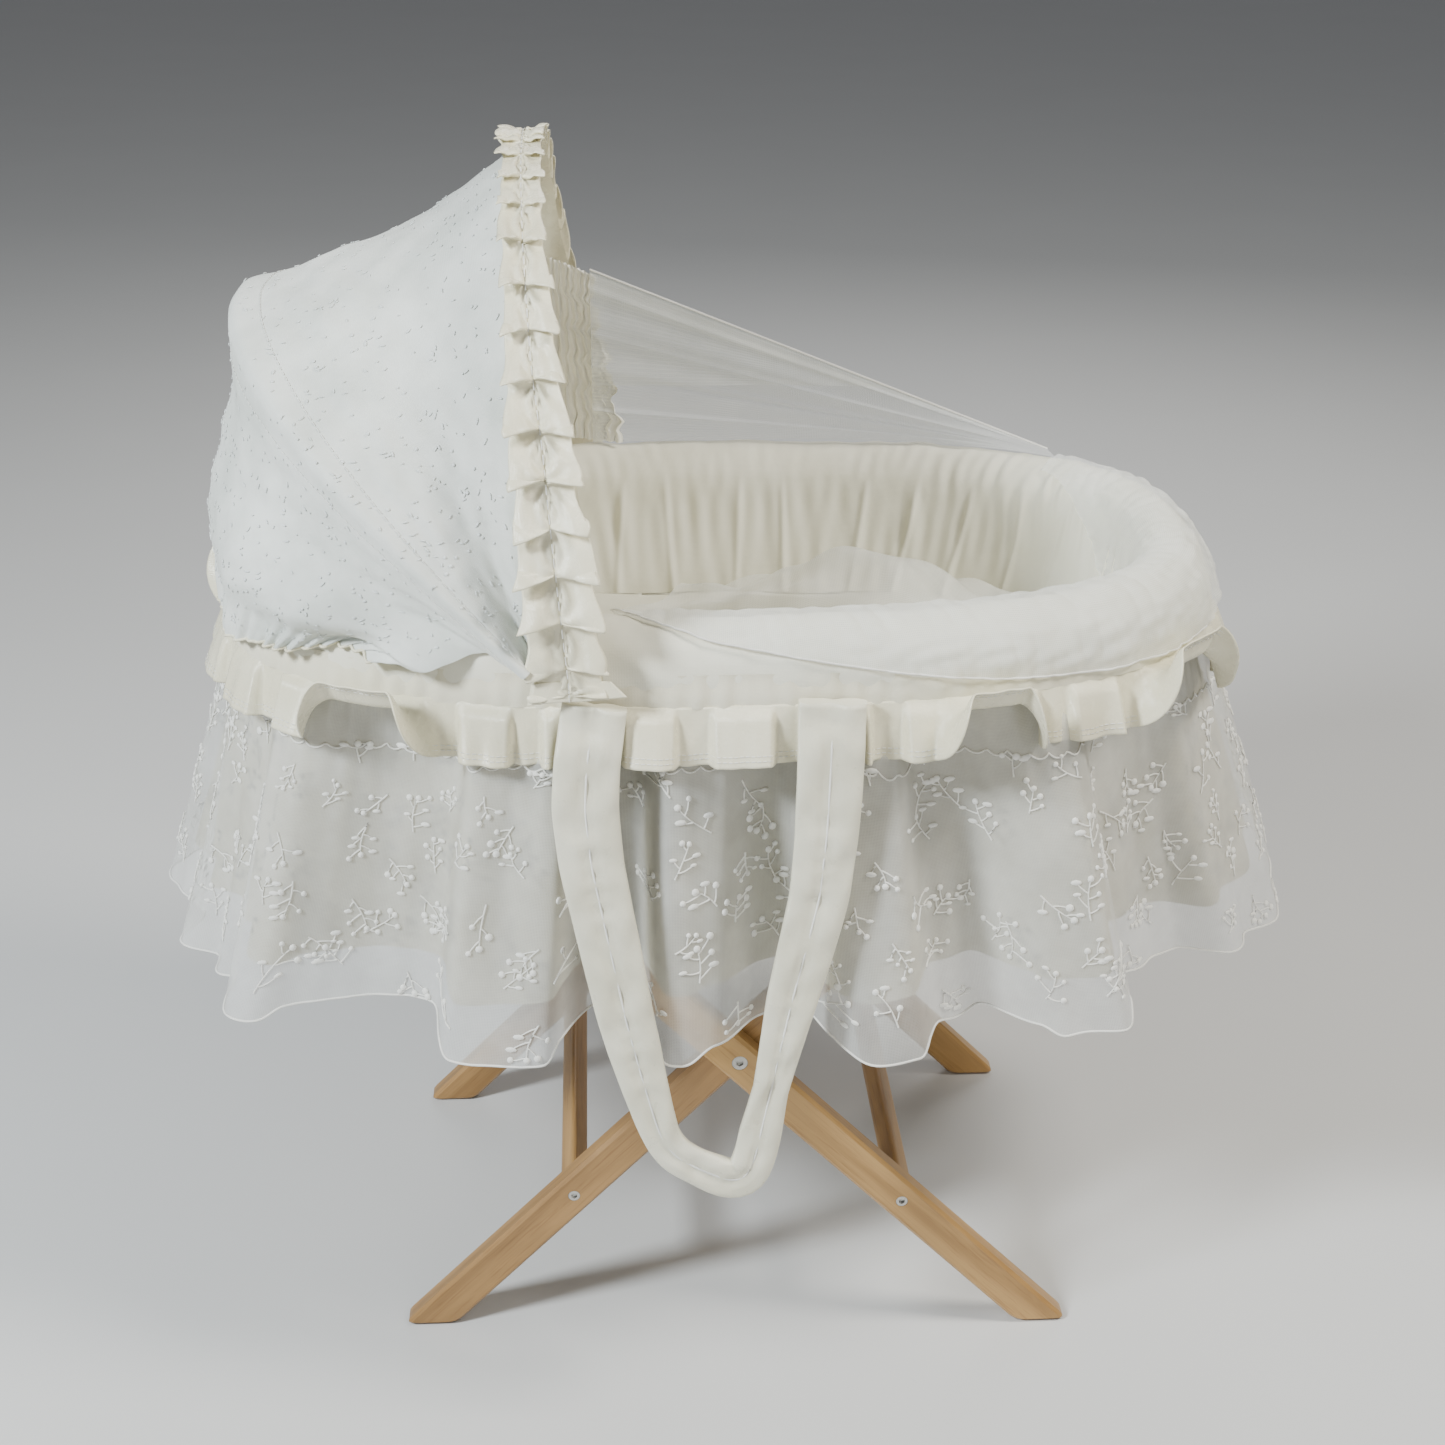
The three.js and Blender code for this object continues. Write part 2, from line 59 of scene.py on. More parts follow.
# ------------------------------------------------------------------ camera, floor and light
def camera():
    data = bpy.data.cameras.new("camera")
    data.lens, data.sensor_width = 56.087, 36
    data.clip_end = 100
    obj = bpy.data.objects.new("camera", data)
    scene.collection.objects.link(obj)
    yaw, pitch, roll = (math.radians(d) for d in (3.2467, 24.825, 0.279))
    forward = Vector((math.sin(yaw) * math.cos(pitch), math.cos(yaw) * math.cos(pitch), -math.sin(pitch)))
    level = Vector((math.cos(yaw), -math.sin(yaw), 0))
    upright = level.cross(forward)
    right = level * math.cos(roll) + upright * math.sin(roll)
    up = upright * math.cos(roll) - level * math.sin(roll)
    turn = Matrix((right, up, -forward)).transposed()
    obj.matrix_world = Matrix.Translation((-0.10548, -1.78582, 1.32625)) @ turn.to_4x4()
    scene.camera = obj


def area_light(name, place, target, size, power, colour):
    data = bpy.data.lights.new(name, "AREA")
    data.shape, data.size, data.energy, data.color = "DISK", size, power, colour
    obj = bpy.data.objects.new(name, data)
    scene.collection.objects.link(obj)
    obj.location = place
    obj.rotation_euler = (Vector(target) - Vector(place)).to_track_quat("-Z", "Y").to_euler()


def studio():
    bpy.ops.mesh.primitive_plane_add(size=60, location=(0, 0, -0.0005))
    floor = bpy.context.object
    floor.name = "floor"
    floor.data.materials.append(plain_material("floor_paint", (0.62, 0.62, 0.615), 0.85))
    world = bpy.data.worlds.new("studio")
    world.use_nodes = True
    background = world.node_tree.nodes["Background"]
    background.inputs["Color"].default_value = (0.86, 0.88, 0.92, 1)
    background.inputs["Strength"].default_value = 0.20
    scene.world = world
    area_light("window", (-2.1, -1.5, 2.3), (0, 0, 0.55), 0.6, 150, (0.90, 0.965, 1.0))
    area_light("key", (1.7, -0.7, 2.7), (0, 0, 0.55), 0.8, 84, (1.0, 0.965, 0.88))
    area_light("front", (0.9, -2.3, 1.35), (-0.1, 0.1, 0.75), 1.4, 11, (1.0, 0.98, 0.94))
    area_light("back", (0.6, 2.6, 2.2), (0, 0, 0.6), 1.6, 26, (1.0, 0.98, 0.95))


# ------------------------------------------------------------------ materials
def new_material(name, colour, roughness):
    material = bpy.data.materials.new(name)
    material.use_nodes = True
    shader = material.node_tree.nodes["Principled BSDF"]
    shader.inputs["Base Color"].default_value = (*colour, 1)
    shader.inputs["Roughness"].default_value = roughness
    return material, material.node_tree, shader


def plain_material(name, colour, roughness):
    material, tree, shader = new_material(name, colour, roughness)
    noise = add_noise(tree, 3.0, 3, 0.5)
    mix_colours(tree, noise, [c * 0.985 for c in colour], colour, shader.inputs["Base Color"])
    return material


def set_inputs(node, values):
    for key, value in values.items():
        node.inputs[key].default_value = value


def mapped(tree, vector, **values):
    mapping = tree.nodes.new("ShaderNodeMapping")
    set_inputs(mapping, values)
    tree.links.new(vector, mapping.inputs["Vector"])
    return mapping.outputs["Vector"]


def coordinates(tree, space="Object", turn=(0, 0, 0)):
    place = tree.nodes.new("ShaderNodeTexCoord")
    return mapped(tree, place.outputs[space], Rotation=turn)


def add_noise(tree, scale, detail, roughness, vector=None, distortion=0.0):
    noise = tree.nodes.new("ShaderNodeTexNoise")
    set_inputs(noise, {"Scale": scale, "Detail": detail, "Roughness": roughness, "Distortion": distortion})
    tree.links.new(vector or coordinates(tree), noise.inputs["Vector"])
    return noise.outputs["Fac"]


def ramp(tree, value, stops):
    node = tree.nodes.new("ShaderNodeValToRGB")
    elements = node.color_ramp.elements
    while len(elements) < len(stops):
        elements.new(0.5)
    for element, (place, colour) in zip(elements, stops):
        element.position = place
        element.color = (*colour, 1)
    tree.links.new(value, node.inputs["Fac"])
    return node.outputs["Color"]


def mix_colours(tree, factor, dark, light, socket):
    tree.links.new(ramp(tree, factor, [(0.3, dark), (0.7, light)]), socket)


def arithmetic(tree, operation, a, b):
    node = tree.nodes.new("ShaderNodeMath")
    node.operation = operation
    for socket, value in zip(node.inputs, (a, b)):
        if isinstance(value, (int, float)):
            socket.default_value = value
        else:
            tree.links.new(value, socket)
    return node.outputs[0]


def bump(tree, shader, height, distance, strength=1.0, after=None):
    node = tree.nodes.new("ShaderNodeBump")
    set_inputs(node, {"Distance": distance, "Strength": strength})
    tree.links.new(height, node.inputs["Height"])
    if after is not None:
        tree.links.new(after, node.inputs["Normal"])
    tree.links.new(node.outputs["Normal"], shader.inputs["Normal"])
    return node.outputs["Normal"]


WAVES_PER_METRE = 0.314  # the wave texture's scale for one wave in each metre of UV


def weave(tree, pitch):
    """Height of a plain weave, from the UVs in metres."""
    bands = []
    for direction in ("X", "Y"):
        wave = tree.nodes.new("ShaderNodeTexWave")
        wave.wave_type, wave.bands_direction, wave.wave_profile = "BANDS", direction, "SIN"
        set_inputs(wave, {"Scale": WAVES_PER_METRE / pitch, "Distortion": 0.4, "Detail": 1})
        tree.links.new(coordinates(tree, "UV"), wave.inputs["Vector"])
        bands.append(wave.outputs["Fac"])
    return arithmetic(tree, "MAXIMUM", *bands)


def vary_roughness(tree, shader, noise, spread, base):
    scaled = arithmetic(tree, "MULTIPLY", noise, spread)
    tree.links.new(arithmetic(tree, "ADD", scaled, base), shader.inputs["Roughness"])


def cloth_material(name, dark, light, roughness, sheen, pitch=0.0011, crush=0.0006, gloss=0.35):
    """Woven cloth: thread relief, soft creases and a little colour variation."""
    material, tree, shader = new_material(name, light, roughness)
    set_inputs(shader, {"Sheen Weight": sheen, "Sheen Roughness": 0.45, "Specular IOR Level": gloss})
    blotches = add_noise(tree, 14, 4, 0.6)
    mix_colours(tree, blotches, dark, light, shader.inputs["Base Color"])
    creases = add_noise(tree, 55, 5, 0.62, distortion=0.5)
    first = bump(tree, shader, creases, crush, 0.6)
    bump(tree, shader, weave(tree, pitch), 0.00022, 0.55, first)
    spots = add_noise(tree, 90, 3, 0.5)
    vary_roughness(tree, shader, spots, 0.16, roughness - 0.08)
    return material


def sheer_material(name, dark, light, thin, thick, pitch):
    """Organza or net: threads that show, gaps that let the light through, between two opacities."""
    material, tree, shader = new_material(name, light, 0.6)
    set_inputs(shader, {"Specular IOR Level": 0.4, "Sheen Weight": 0.4})
    threads = weave(tree, pitch)
    blotches = add_noise(tree, 20, 4, 0.6)
    mix_colours(tree, blotches, dark, light, shader.inputs["Base Color"])
    density = arithmetic(tree, "MULTIPLY", arithmetic(tree, "ADD", threads, blotches), 0.5)
    spread = arithmetic(tree, "ADD", arithmetic(tree, "MULTIPLY", density, thick - thin), thin)
    tree.links.new(spread, shader.inputs["Alpha"])
    creases = add_noise(tree, 70, 4, 0.6)
    bump(tree, shader, creases, 0.0005, 0.5)
    return material


def wood_material(name, angle, along_y, dark, light):
    """Varnished beech: grain runs along the piece, with short flecks and a few darker growth lines."""
    material, tree, shader = new_material(name, light, 0.42)
    set_inputs(shader, {"Coat Weight": 0.25, "Coat Roughness": 0.3})
    place = coordinates(tree, turn=(0, angle, 0))
    grain = add_noise(tree, 3.2, 6, 0.62, mapped(tree, place, Scale=(14, 1, 14) if along_y else (1, 14, 14)),
                      0.9)
    flecks = add_noise(tree, 2.6, 3, 0.7,
                       mapped(tree, place, Scale=(160, 6, 160) if along_y else (6, 160, 160)))
    dark, light = np.array(dark), np.array(light)
    colour = ramp(tree, grain, [(0.28, dark), (0.45, dark * 0.5 + light * 0.5), (0.62, light),
                                (0.8, light * 0.86)])
    speck = ramp(tree, flecks, [(0.34, (0.62, 0.52, 0.42)), (0.46, (1, 1, 1))])
    mix = tree.nodes.new("ShaderNodeMix")
    mix.data_type, mix.blend_type = "RGBA", "MULTIPLY"
    mix.inputs["Factor"].default_value = 0.55
    tree.links.new(colour, mix.inputs["A"])
    tree.links.new(speck, mix.inputs["B"])
    tree.links.new(mix.outputs["Result"], shader.inputs["Base Color"])
    vary_roughness(tree, shader, flecks, 0.25, 0.3)
    bump(tree, shader, flecks, 0.00025, 0.5)
    return material


def metal_material(name, colour, roughness):
    material, tree, shader = new_material(name, colour, roughness)
    shader.inputs["Metallic"].default_value = 1.0
    scratches = add_noise(tree, 400, 4, 0.7)
    mix_colours(tree, scratches, [c * 0.8 for c in colour], colour, shader.inputs["Base Color"])
    vary_roughness(tree, shader, scratches, 0.25, roughness - 0.1)
    bump(tree, shader, scratches, 0.0001, 0.3)
    return material


def cane_material(name, dark, light):
    """Split cane: every strand a little different, with fibres along it."""
    material, tree, shader = new_material(name, light, 0.6)
    tone = add_noise(tree, 30, 5, 0.7)
    mix_colours(tree, tone, dark, light, shader.inputs["Base Color"])
    fibres = add_noise(tree, 500, 3, 0.6)
    bump(tree, shader, fibres, 0.0003, 0.6)
    return material


# ------------------------------------------------------------------ mesh helpers
def build(name, vertices, faces, uv, material, body, slot, replaces=()):
    """A smooth mesh from millimetre points, riding on a body. uv is one pair for each face corner, in metres."""
    mesh = bpy.data.meshes.new(name)
    mesh.from_pydata((np.asarray(vertices, float) * 0.001).tolist(), [], [list(map(int, f)) for f in faces])
    mesh.polygons.foreach_set("use_smooth", np.ones(len(mesh.polygons), bool))
    layer = mesh.uv_layers.new(name="UVMap")
    layer.data.foreach_set("uv", np.asarray(uv, np.float32).ravel())
    mesh.materials.append(material)
    mesh.validate()
    obj = bpy.data.objects.new(name, mesh)
    scene.collection.objects.link(obj)
    if body:
        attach(obj, body)
    if replaces:
        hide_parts(*replaces)
    return obj


def xyz(x, y, z):
    """Points from coordinates that may need stretching to one shape."""
    return np.stack(np.broadcast_arrays(x, y, z), -1)


def grid_faces(nu, nv, wrap_u, wrap_v):
    i, j = np.meshgrid(np.arange(nu if wrap_u else nu - 1), np.arange(nv if wrap_v else nv - 1),
                       indexing="ij")
    i, j = i.ravel(), j.ravel()
    i2, j2 = (i + 1) % nu, (j + 1) % nv
    faces = np.stack([i * nv + j, i2 * nv + j, i2 * nv + j2, i * nv + j2], 1)
    corners = np.stack([np.stack([i + a, j + b], 1) for a, b in ((0, 0), (1, 0), (1, 1), (0, 1))], 1)
    return faces, corners


def grid(name, points, material, body, slot, replaces=(), wrap_u=False, wrap_v=False, flip=False):
    """A surface through a (u, v, 3) array of millimetre points."""
    nu, nv, _ = points.shape
    faces, corners = grid_faces(nu, nv, wrap_u, wrap_v)
    du = np.linalg.norm(np.diff(points, axis=0, append=points[:1]), axis=2).mean(1)
    dv = np.linalg.norm(np.diff(points, axis=1, append=points[:, :1]), axis=2).mean(0)
    lengths = [np.concatenate([[0], np.cumsum(d)]) * 0.001 for d in (du, dv)]
    uv = np.stack([lengths[0][corners[..., 0]], lengths[1][corners[..., 1]]], -1)
    if flip:
        faces, uv = faces[:, ::-1], uv[:, ::-1]
    return build(name, points.reshape(-1, 3), faces, uv, material, body, slot, replaces)


def slope(points, axis, wrap):
    if wrap:
        return np.roll(points, -1, axis) - np.roll(points, 1, axis)
    return np.gradient(points, axis=axis)


def unit(vectors):
    return vectors / np.maximum(np.linalg.norm(vectors, axis=-1, keepdims=True), 1e-9)


def run_length(line):
    """Distance along a line to each of its points."""
    return np.concatenate([[0], np.cumsum(np.linalg.norm(np.diff(line, axis=0), axis=1))])


def grid_normals(points, wrap=False):
    return unit(np.cross(slope(points, 0, wrap), slope(points, 1, wrap)))


def tube(name, line, radius, material, body, slot, sides=6, closed=False):
    """A cord of round section along millimetre points."""
    return build(name, *tube_mesh(line, radius, sides, closed), material, body, slot)


def tube_mesh(line, radius, sides=6, closed=False):
    line = np.asarray(line, float)
    tangent = unit(slope(line, 0, closed))
    helper = np.where(np.abs(tangent[:, 2:]) > 0.9, [[1.0, 0, 0]], [[0, 0, 1.0]])
    side = unit(np.cross(tangent, helper))
    other = np.cross(tangent, side)
    angles = np.arange(sides)[:, None] / sides * TAU
    reach = np.broadcast_to(np.asarray(radius, float), (len(line),))[:, None, None]
    points = line[:, None] + reach * (np.cos(angles) * side[:, None] + np.sin(angles) * other[:, None])
    faces, corners = grid_faces(len(line), sides, closed, True)
    return points.reshape(-1, 3), faces, corners * np.array([0.002, 0.001])


def gather(parts):
    """Joins (vertices, faces, uv) meshes whose faces are all quads."""
    vertices, faces, uvs = zip(*parts)
    bases = np.cumsum([0] + [len(v) for v in vertices])
    faces = [np.asarray(f) + base for f, base in zip(faces, bases)]
    return np.concatenate(vertices), np.concatenate(faces), np.concatenate(uvs)


def ripple(s, v, seed, low, high, lean=0.0, count=10):
    """Wavy noise round a closed ring: s from 0 to 1 round it, v across it. About -1 to 1."""
    random = np.random.default_rng(seed)
    total = 0
    for _ in range(count):
        k, slope, phase = random.integers(low, high + 1), random.normal() * lean, random.uniform(0, TAU)
        total = total + np.sin(TAU * k * s + slope * v + phase)
    return total / math.sqrt(count)


def bell(x, width):
    return np.exp(-(x / width) ** 2)


def smooth(x, low=0.0, high=1.0):
    t = np.clip((x - low) / (high - low), 0, 1)
    return t * t * (3 - 2 * t)


def turned(s, centre):
    """Signed distance round the ring from centre, from -0.5 to 0.5."""
    return (s - centre + 0.5) % 1.0 - 0.5


# ------------------------------------------------------------------ the basket's oval
RIM_A, RIM_B, RIM_X, ROUND = 377.0, 216.0, -6.0, 2.6
POWER = 2 / ROUND


def signed_power(value):
    return np.sign(value) * np.abs(value) ** POWER


_angles = np.linspace(0, TAU, 8001)
_oval = np.stack([RIM_A * signed_power(np.cos(_angles)), RIM_B * signed_power(np.sin(_angles))], 1)
_run = run_length(_oval)
RIM_LENGTH = _run[-1]


def oval_angle(s):
    """s runs round the rim by length: 0 at the foot, 0.25 far, 0.5 head, 0.75 near."""
    return np.interp(np.asarray(s) % 1.0, _run / RIM_LENGTH, _angles)


def oval(s, a_out, b_out=None, x=RIM_X):
    b_out = a_out if b_out is None else b_out
    angle = oval_angle(s)
    return x + (RIM_A + a_out) * signed_power(np.cos(angle)), (RIM_B + b_out) * signed_power(np.sin(angle))


def oval_normal(s):
    x0, y0 = oval(s - 0.002, 0)
    x1, y1 = oval(s + 0.002, 0)
    length = np.hypot(x1 - x0, y1 - y0)
    return (y1 - y0) / length, -(x1 - x0) / length


_ring_s = np.linspace(0.5, 1.0, 2001)


def near_s(x):
    """Where on the near side the rim passes a given X."""
    return np.interp(x, oval(_ring_s, 0)[0], _ring_s)


# ------------------------------------------------------------------ skirt
SKIRT_TOP, LACE_DROP, LINING_DROP = 624, 279, 238
HEM_A, TABLE = 497.0, 4096  # half length of the hem, steps in the table of folds
# How far the lace's hem stands out from (or in from) its flared oval, by X on the near side.
NEAR_FOLDS = [(-462, -30), (-441, -34), (-422, 4), (-392, 8), (-372, -24), (-352, -46), (-290, -62),
              (-258, -52), (-242, 4), (-215, 10), (-180, 8), (-153, 6), (-140, -40), (-124, -70), (-92, -72),
              (-80, -36), (-69, 6), (-48, 6), (-15, -16), (8, -50), (38, -66), (56, -56), (68, -8), (95, 6),
              (128, 12), (146, 6), (160, -40), (205, -50), (232, -16), (258, 8), (306, 18), (320, 0),
              (336, -50), (385, -66), (420, -60), (438, -26), (470, -24), (487, -10)]
FAR_FOLDS = [(0.012, 4), (0.03, 6), (0.052, -38), (0.078, -44), (0.098, 2), (0.125, 8), (0.148, -48),
             (0.178, -56), (0.196, 4), (0.222, 8), (0.243, -50), (0.268, -60), (0.29, 2), (0.322, 8),
             (0.344, -46), (0.366, -54), (0.386, 4), (0.412, 6), (0.432, -40), (0.452, -36), (0.47, 3),
             (0.495, 5), (0.513, -28), (0.53, -24)]


def fold_table():
    hem_x = np.array([x for x, _ in NEAR_FOLDS], float)
    near = near_s(hem_x * (RIM_A / HEM_A) + RIM_X)
    s, d = np.array(sorted(FAR_FOLDS + list(zip(near, [d for _, d in NEAR_FOLDS])))).T
    dense = np.arange(TABLE) / TABLE
    values = np.interp(dense, np.concatenate([s - 1, s, s + 1]), np.tile(d, 3))
    kernel = np.hanning(43)
    kernel /= kernel.sum()
    padded = np.concatenate([values[-100:], values, values[:100]])
    return np.convolve(padded, kernel, "same")[100:-100]


FOLDS = fold_table()


def fold_depth(s):
    return np.interp((np.asarray(s) % 1.0) * TABLE, np.arange(TABLE + 1), np.append(FOLDS, FOLDS[0]))


def skirt_points(s, drop, inset=0.0, calm=1.0, seed=5):
    """The skirt's surface. drop is millimetres down from its top seam."""
    share = drop / LACE_DROP
    out_a, out_b, shift = 29 + share * 91, 29 + share * 36, RIM_X * (1 - share)
    x, y = oval(s, out_a, out_b, shift)
    nx, ny = oval_normal(s)
    depth = fold_depth(s)
    near = bell(turned(s, 0.75), 0.20)
    push = calm * depth * (0.06 + 0.94 * np.clip(share, 0, 1.2) ** 0.5)
    flutter = 4.2 * ripple(s, share * 3, seed, 18, 44, 0.8) * np.clip(share, 0, 1) ** 0.6
    gathers = 1.6 * ripple(s, share, seed + 3, 90, 150, 2.0) * np.exp(-drop / 45.0)
    push = push + flutter + gathers - inset
    sag = 14 * near * smooth(depth, -10, 8) * np.clip(share, 0, 1.2) ** 3
    z = SKIRT_TOP - drop - sag + 2.0 * ripple(s, 0, seed + 7, 3, 9) * share
    return xyz(x + nx * push, y + ny * push, z)


def make_skirt():
    s = np.linspace(0, 1, 900, endpoint=False)[:, None]
    lace_drop = np.linspace(0, 1, 60)[None] * (LACE_DROP + 3 * ripple(s, 0, 31, 5, 14))
    lining_drop = np.linspace(0, 1, 46)[None] * (LINING_DROP + 4 * ripple(s, 0, 33, 4, 11))
    lace = grid("skirt_lace_cloth", skirt_points(s, lace_drop), LACE, "basket", "lace", ("skirt_lace",),
                wrap_u=True)
    lining = grid("skirt_lining_cloth", skirt_points(s, lining_drop, 15, 0.95), LINING, "basket", "cotton",
                  ("skirt_lining",), wrap_u=True)
    ring = np.linspace(0, 1, 1100, endpoint=False)
    hem_line = skirt_points(ring, LACE_DROP + 3 * ripple(ring, 0, 31, 5, 14))
    hem = tube("skirt_lace_hem", hem_line, 1.0, THREAD, "basket", "lace", closed=True)
    scallop = 46 + 5.5 * np.abs(np.sin(TAU * ring * 74)) ** 0.7 + 3 * ripple(ring, 0, 8, 6, 20)
    edge = tube("skirt_scallop_edge", skirt_points(ring, scallop, -0.9), 0.75, THREAD, "basket", "lace", 5,
                True)


SPRIG_RING, SPRIG_OUT = 2300.0, -0.8  # millimetres round the rim, and how far the thread stands on the lace


def make_embroidery():
    """Sprigs on the lace: a forked stem with berries at its tips and small leaves."""
    random = np.random.default_rng(12)
    stems, blobs = [], []
    sphere = blob_mesh()
    columns, rows = 44, 7
    for column in range(columns):
        for row in range(rows):
            s0 = (column + 0.5 * (row % 2) + random.uniform(-0.22, 0.22)) / columns
            drop0 = 66 + row * 31 + random.uniform(-7, 7)
            angle = random.uniform(-0.9, 0.9) + (math.pi if random.random() < 0.35 else 0)
            scale = random.uniform(0.72, 1.1)
            turn = np.array([[math.cos(angle), -math.sin(angle)], [math.sin(angle), math.cos(angle)]])
            on_lace = lambda along, down: skirt_points(s0 + along / SPRIG_RING,
                np.clip(drop0 - down, 50, 274), SPRIG_OUT)
            for line, tip, kind in sprig(random):
                flat = (np.asarray(line) * scale) @ turn.T
                stems.append(tube_mesh(on_lace(flat[:, 0], flat[:, 1]), np.linspace(0.75, 0.5, len(flat)), 5))
                centre = on_lace(*flat[-1])
                tip_s, tip_drop = s0 + flat[-1][0] / SPRIG_RING, np.clip(drop0 - flat[-1][1], 50, 274)
                beside = skirt_points(tip_s + 0.001, tip_drop, SPRIG_OUT)
                above = skirt_points(tip_s, tip_drop - 1.5, SPRIG_OUT)
                blobs.append(lay_blob(sphere, centre, beside - centre, above - centre, tip * scale, kind))
    build("skirt_embroidery", *gather(stems + blobs), THREAD, "basket", "lace")


def sprig(random):
    """Stem lines in flat millimetres, each with the size and kind of what is on its tip."""
    found = []
    height = random.uniform(20, 36)
    bend = random.uniform(-6, 6)
    t = np.linspace(0, 1, 9)
    found.append((np.stack([bend * np.sin(t * 2.4), t * height], 1), 3.0, "berry"))
    count = random.integers(3, 6)
    for index in range(count):
        side = -1 if index % 2 else 1
        start = (index + random.uniform(0.5, 1.0)) / (count + 0.6)
        reach, rise = random.uniform(6, 12), random.uniform(4, 10)
        origin = np.array([bend * math.sin(start * 2.4), start * height])
        t = np.linspace(0, 1, 6)
        line = origin + np.stack([side * reach * t, rise * t ** 1.4], 1)
        found.append((line, random.choice([2.4, 2.8, 3.2]), "berry" if random.random() < 0.55 else "leaf"))
    return found


def blob_mesh(rings=5, sides=8):
    """A unit dome as quads, flattened later."""
    polar = np.linspace(0.05, math.pi / 2 + 0.5, rings)[:, None]
    around = np.arange(sides) / sides * TAU
    points = np.stack(np.broadcast_arrays(np.sin(polar) * np.cos(around), np.sin(polar) * np.sin(around),
                                          np.cos(polar)), -1)
    faces, corners = grid_faces(rings, sides, False, True)
    return points.reshape(-1, 3), faces[:, ::-1], corners * 0.001


def lay_blob(blob, centre, across, up, size, kind):
    """A berry or leaf on the lace, its dome facing away from the basket."""
    across = unit(across)
    normal = unit(np.cross(across, up))
    up = np.cross(normal, across)
    shape = (size * 1.5, size * 0.75, 1.0) if kind == "leaf" else (size, size, 1.5)
    if normal[:2] @ centre[:2] < 0:
        normal = -normal
    return placed(blob, centre, (across, up, normal), shape)


def placed(blob, centre, axes, shape):
    points, faces, uv = blob
    return centre + (points * np.array(shape)) @ np.array(axes), faces, uv


# ------------------------------------------------------------------ frill under the roll
# Where the frill's lower edge curls out and up: (place on the ring, half width, how far it turns). At 1 it has
# turned right over.
CURLS = [(near_s(-268.0), 0.026, 0.86), (near_s(176.0), 0.021, 0.86), (near_s(318.0), 0.022, 0.95),
         (0.07, 0.02, 0.8), (0.19, 0.018, 0.75), (0.378, 0.021, 0.9), (0.455, 0.02, 0.8)]


def frill_curl(s):
    total = 0
    for centre, width, strength in CURLS:
        total = np.maximum(total, strength * (1 - smooth(np.abs(turned(s, centre)), width * 0.45, width)))
    return total


FRILL_DROP = 46
STRAP_X = (-117.0, 63.0)  # where the frill is held down by the handles


def frill_points(s, down, lift=0.0):
    """down runs from 0 at the seam to 1 at the edge."""
    steps = 24
    curl = frill_curl(s)
    pleat = (s * 31 + 0.12 * ripple(s, 0, 3, 2, 7)) % 1.0
    box = smooth(pleat, 0.0, 0.10) - smooth(pleat, 0.62, 0.70)
    box = box * (1 - 0.7 * curl)
    angle0 = 0.19 + 0.22 * box + 0.06 * ripple(s, 0, 17, 20, 50)
    out = fall = 0
    for i in range(steps):
        t = (i + 0.5) / steps * down
        angle = (angle0 * (1 - curl) - 0.12 * t
                 + curl * (1.35 + 1.75 * smooth(t, 0.12, 0.62) - 0.5 * smooth(t, 0.7, 1.0)))
        out = out + np.sin(angle) * FRILL_DROP * down / steps
        fall = fall + np.cos(angle) * FRILL_DROP * down / steps
    out = (out + 33.5 + 4.4 * box * smooth(down, 0, 0.25) * (1 - 0.8 * curl)
           + 1.2 * ripple(s, down, 19, 60, 120, 1.0) * down + lift)
    for strap in STRAP_X:
        for centre in (near_s(strap), (1.0 - near_s(strap)) % 1.0):
            out = out - (out - 38.5) * 0.8 * (1 - smooth(np.abs(turned(s, centre)), 0.009, 0.014))
    x, y = oval(s, 0)
    nx, ny = oval_normal(s)
    z = 628 - fall + 0.8 * ripple(s, 0, 21, 9, 20)
    return xyz(x + nx * out, y + ny * out, z)


def make_frill():
    s = np.linspace(0, 1, 1400, endpoint=False)[:, None]
    down = np.linspace(0, 1, 26)[None]
    frill = grid("frill_cloth", frill_points(s, down), SATIN, "basket", "satin", ("frill",), wrap_u=True)
    thicken(frill, 0.0012)
    ring = np.linspace(0, 1, 1400, endpoint=False)
    stitches = [dashes(frill_points(ring, at, 0.85), 0.42, 3) for at in (0.80, 0.885)]
    sewing = build("frill_stitching", *gather(stitches), THREAD, "basket", "satin")


def dashes(line, radius, every):
    """Short stitches along a closed line."""
    return gather([tube_mesh(line[start:start + every], radius, 4)
                   for start in range(0, len(line) - every, every)])


def make_band():
    """The plain gathered band between the roll and the frill."""
    s = np.linspace(0, 1, 900, endpoint=False)[:, None]
    drop = np.linspace(0, 1, 10)[None]
    out = 30.6 + 3.4 * smooth(drop, 0, 0.8) + 0.5 * ripple(s, drop * 2, 41, 70, 130, 1.0)
    x, y = oval(s, out)
    band = grid("rim_band_cloth", xyz(x, y, 652 - 26 * drop), COTTON, "basket", "cotton", ("rim_band",),
                wrap_u=True)


# ------------------------------------------------------------------ padded liner and bedding
def creases():
    """Places of the sewn-in gathers down the inside of the liner: (place, strength, lean)."""
    random = np.random.default_rng(4)
    draw, count = random.uniform, 34
    return [((i + draw(-0.3, 0.3)) / count, draw(0.5, 1.0), draw(-0.006, 0.009)) for i in range(count)]


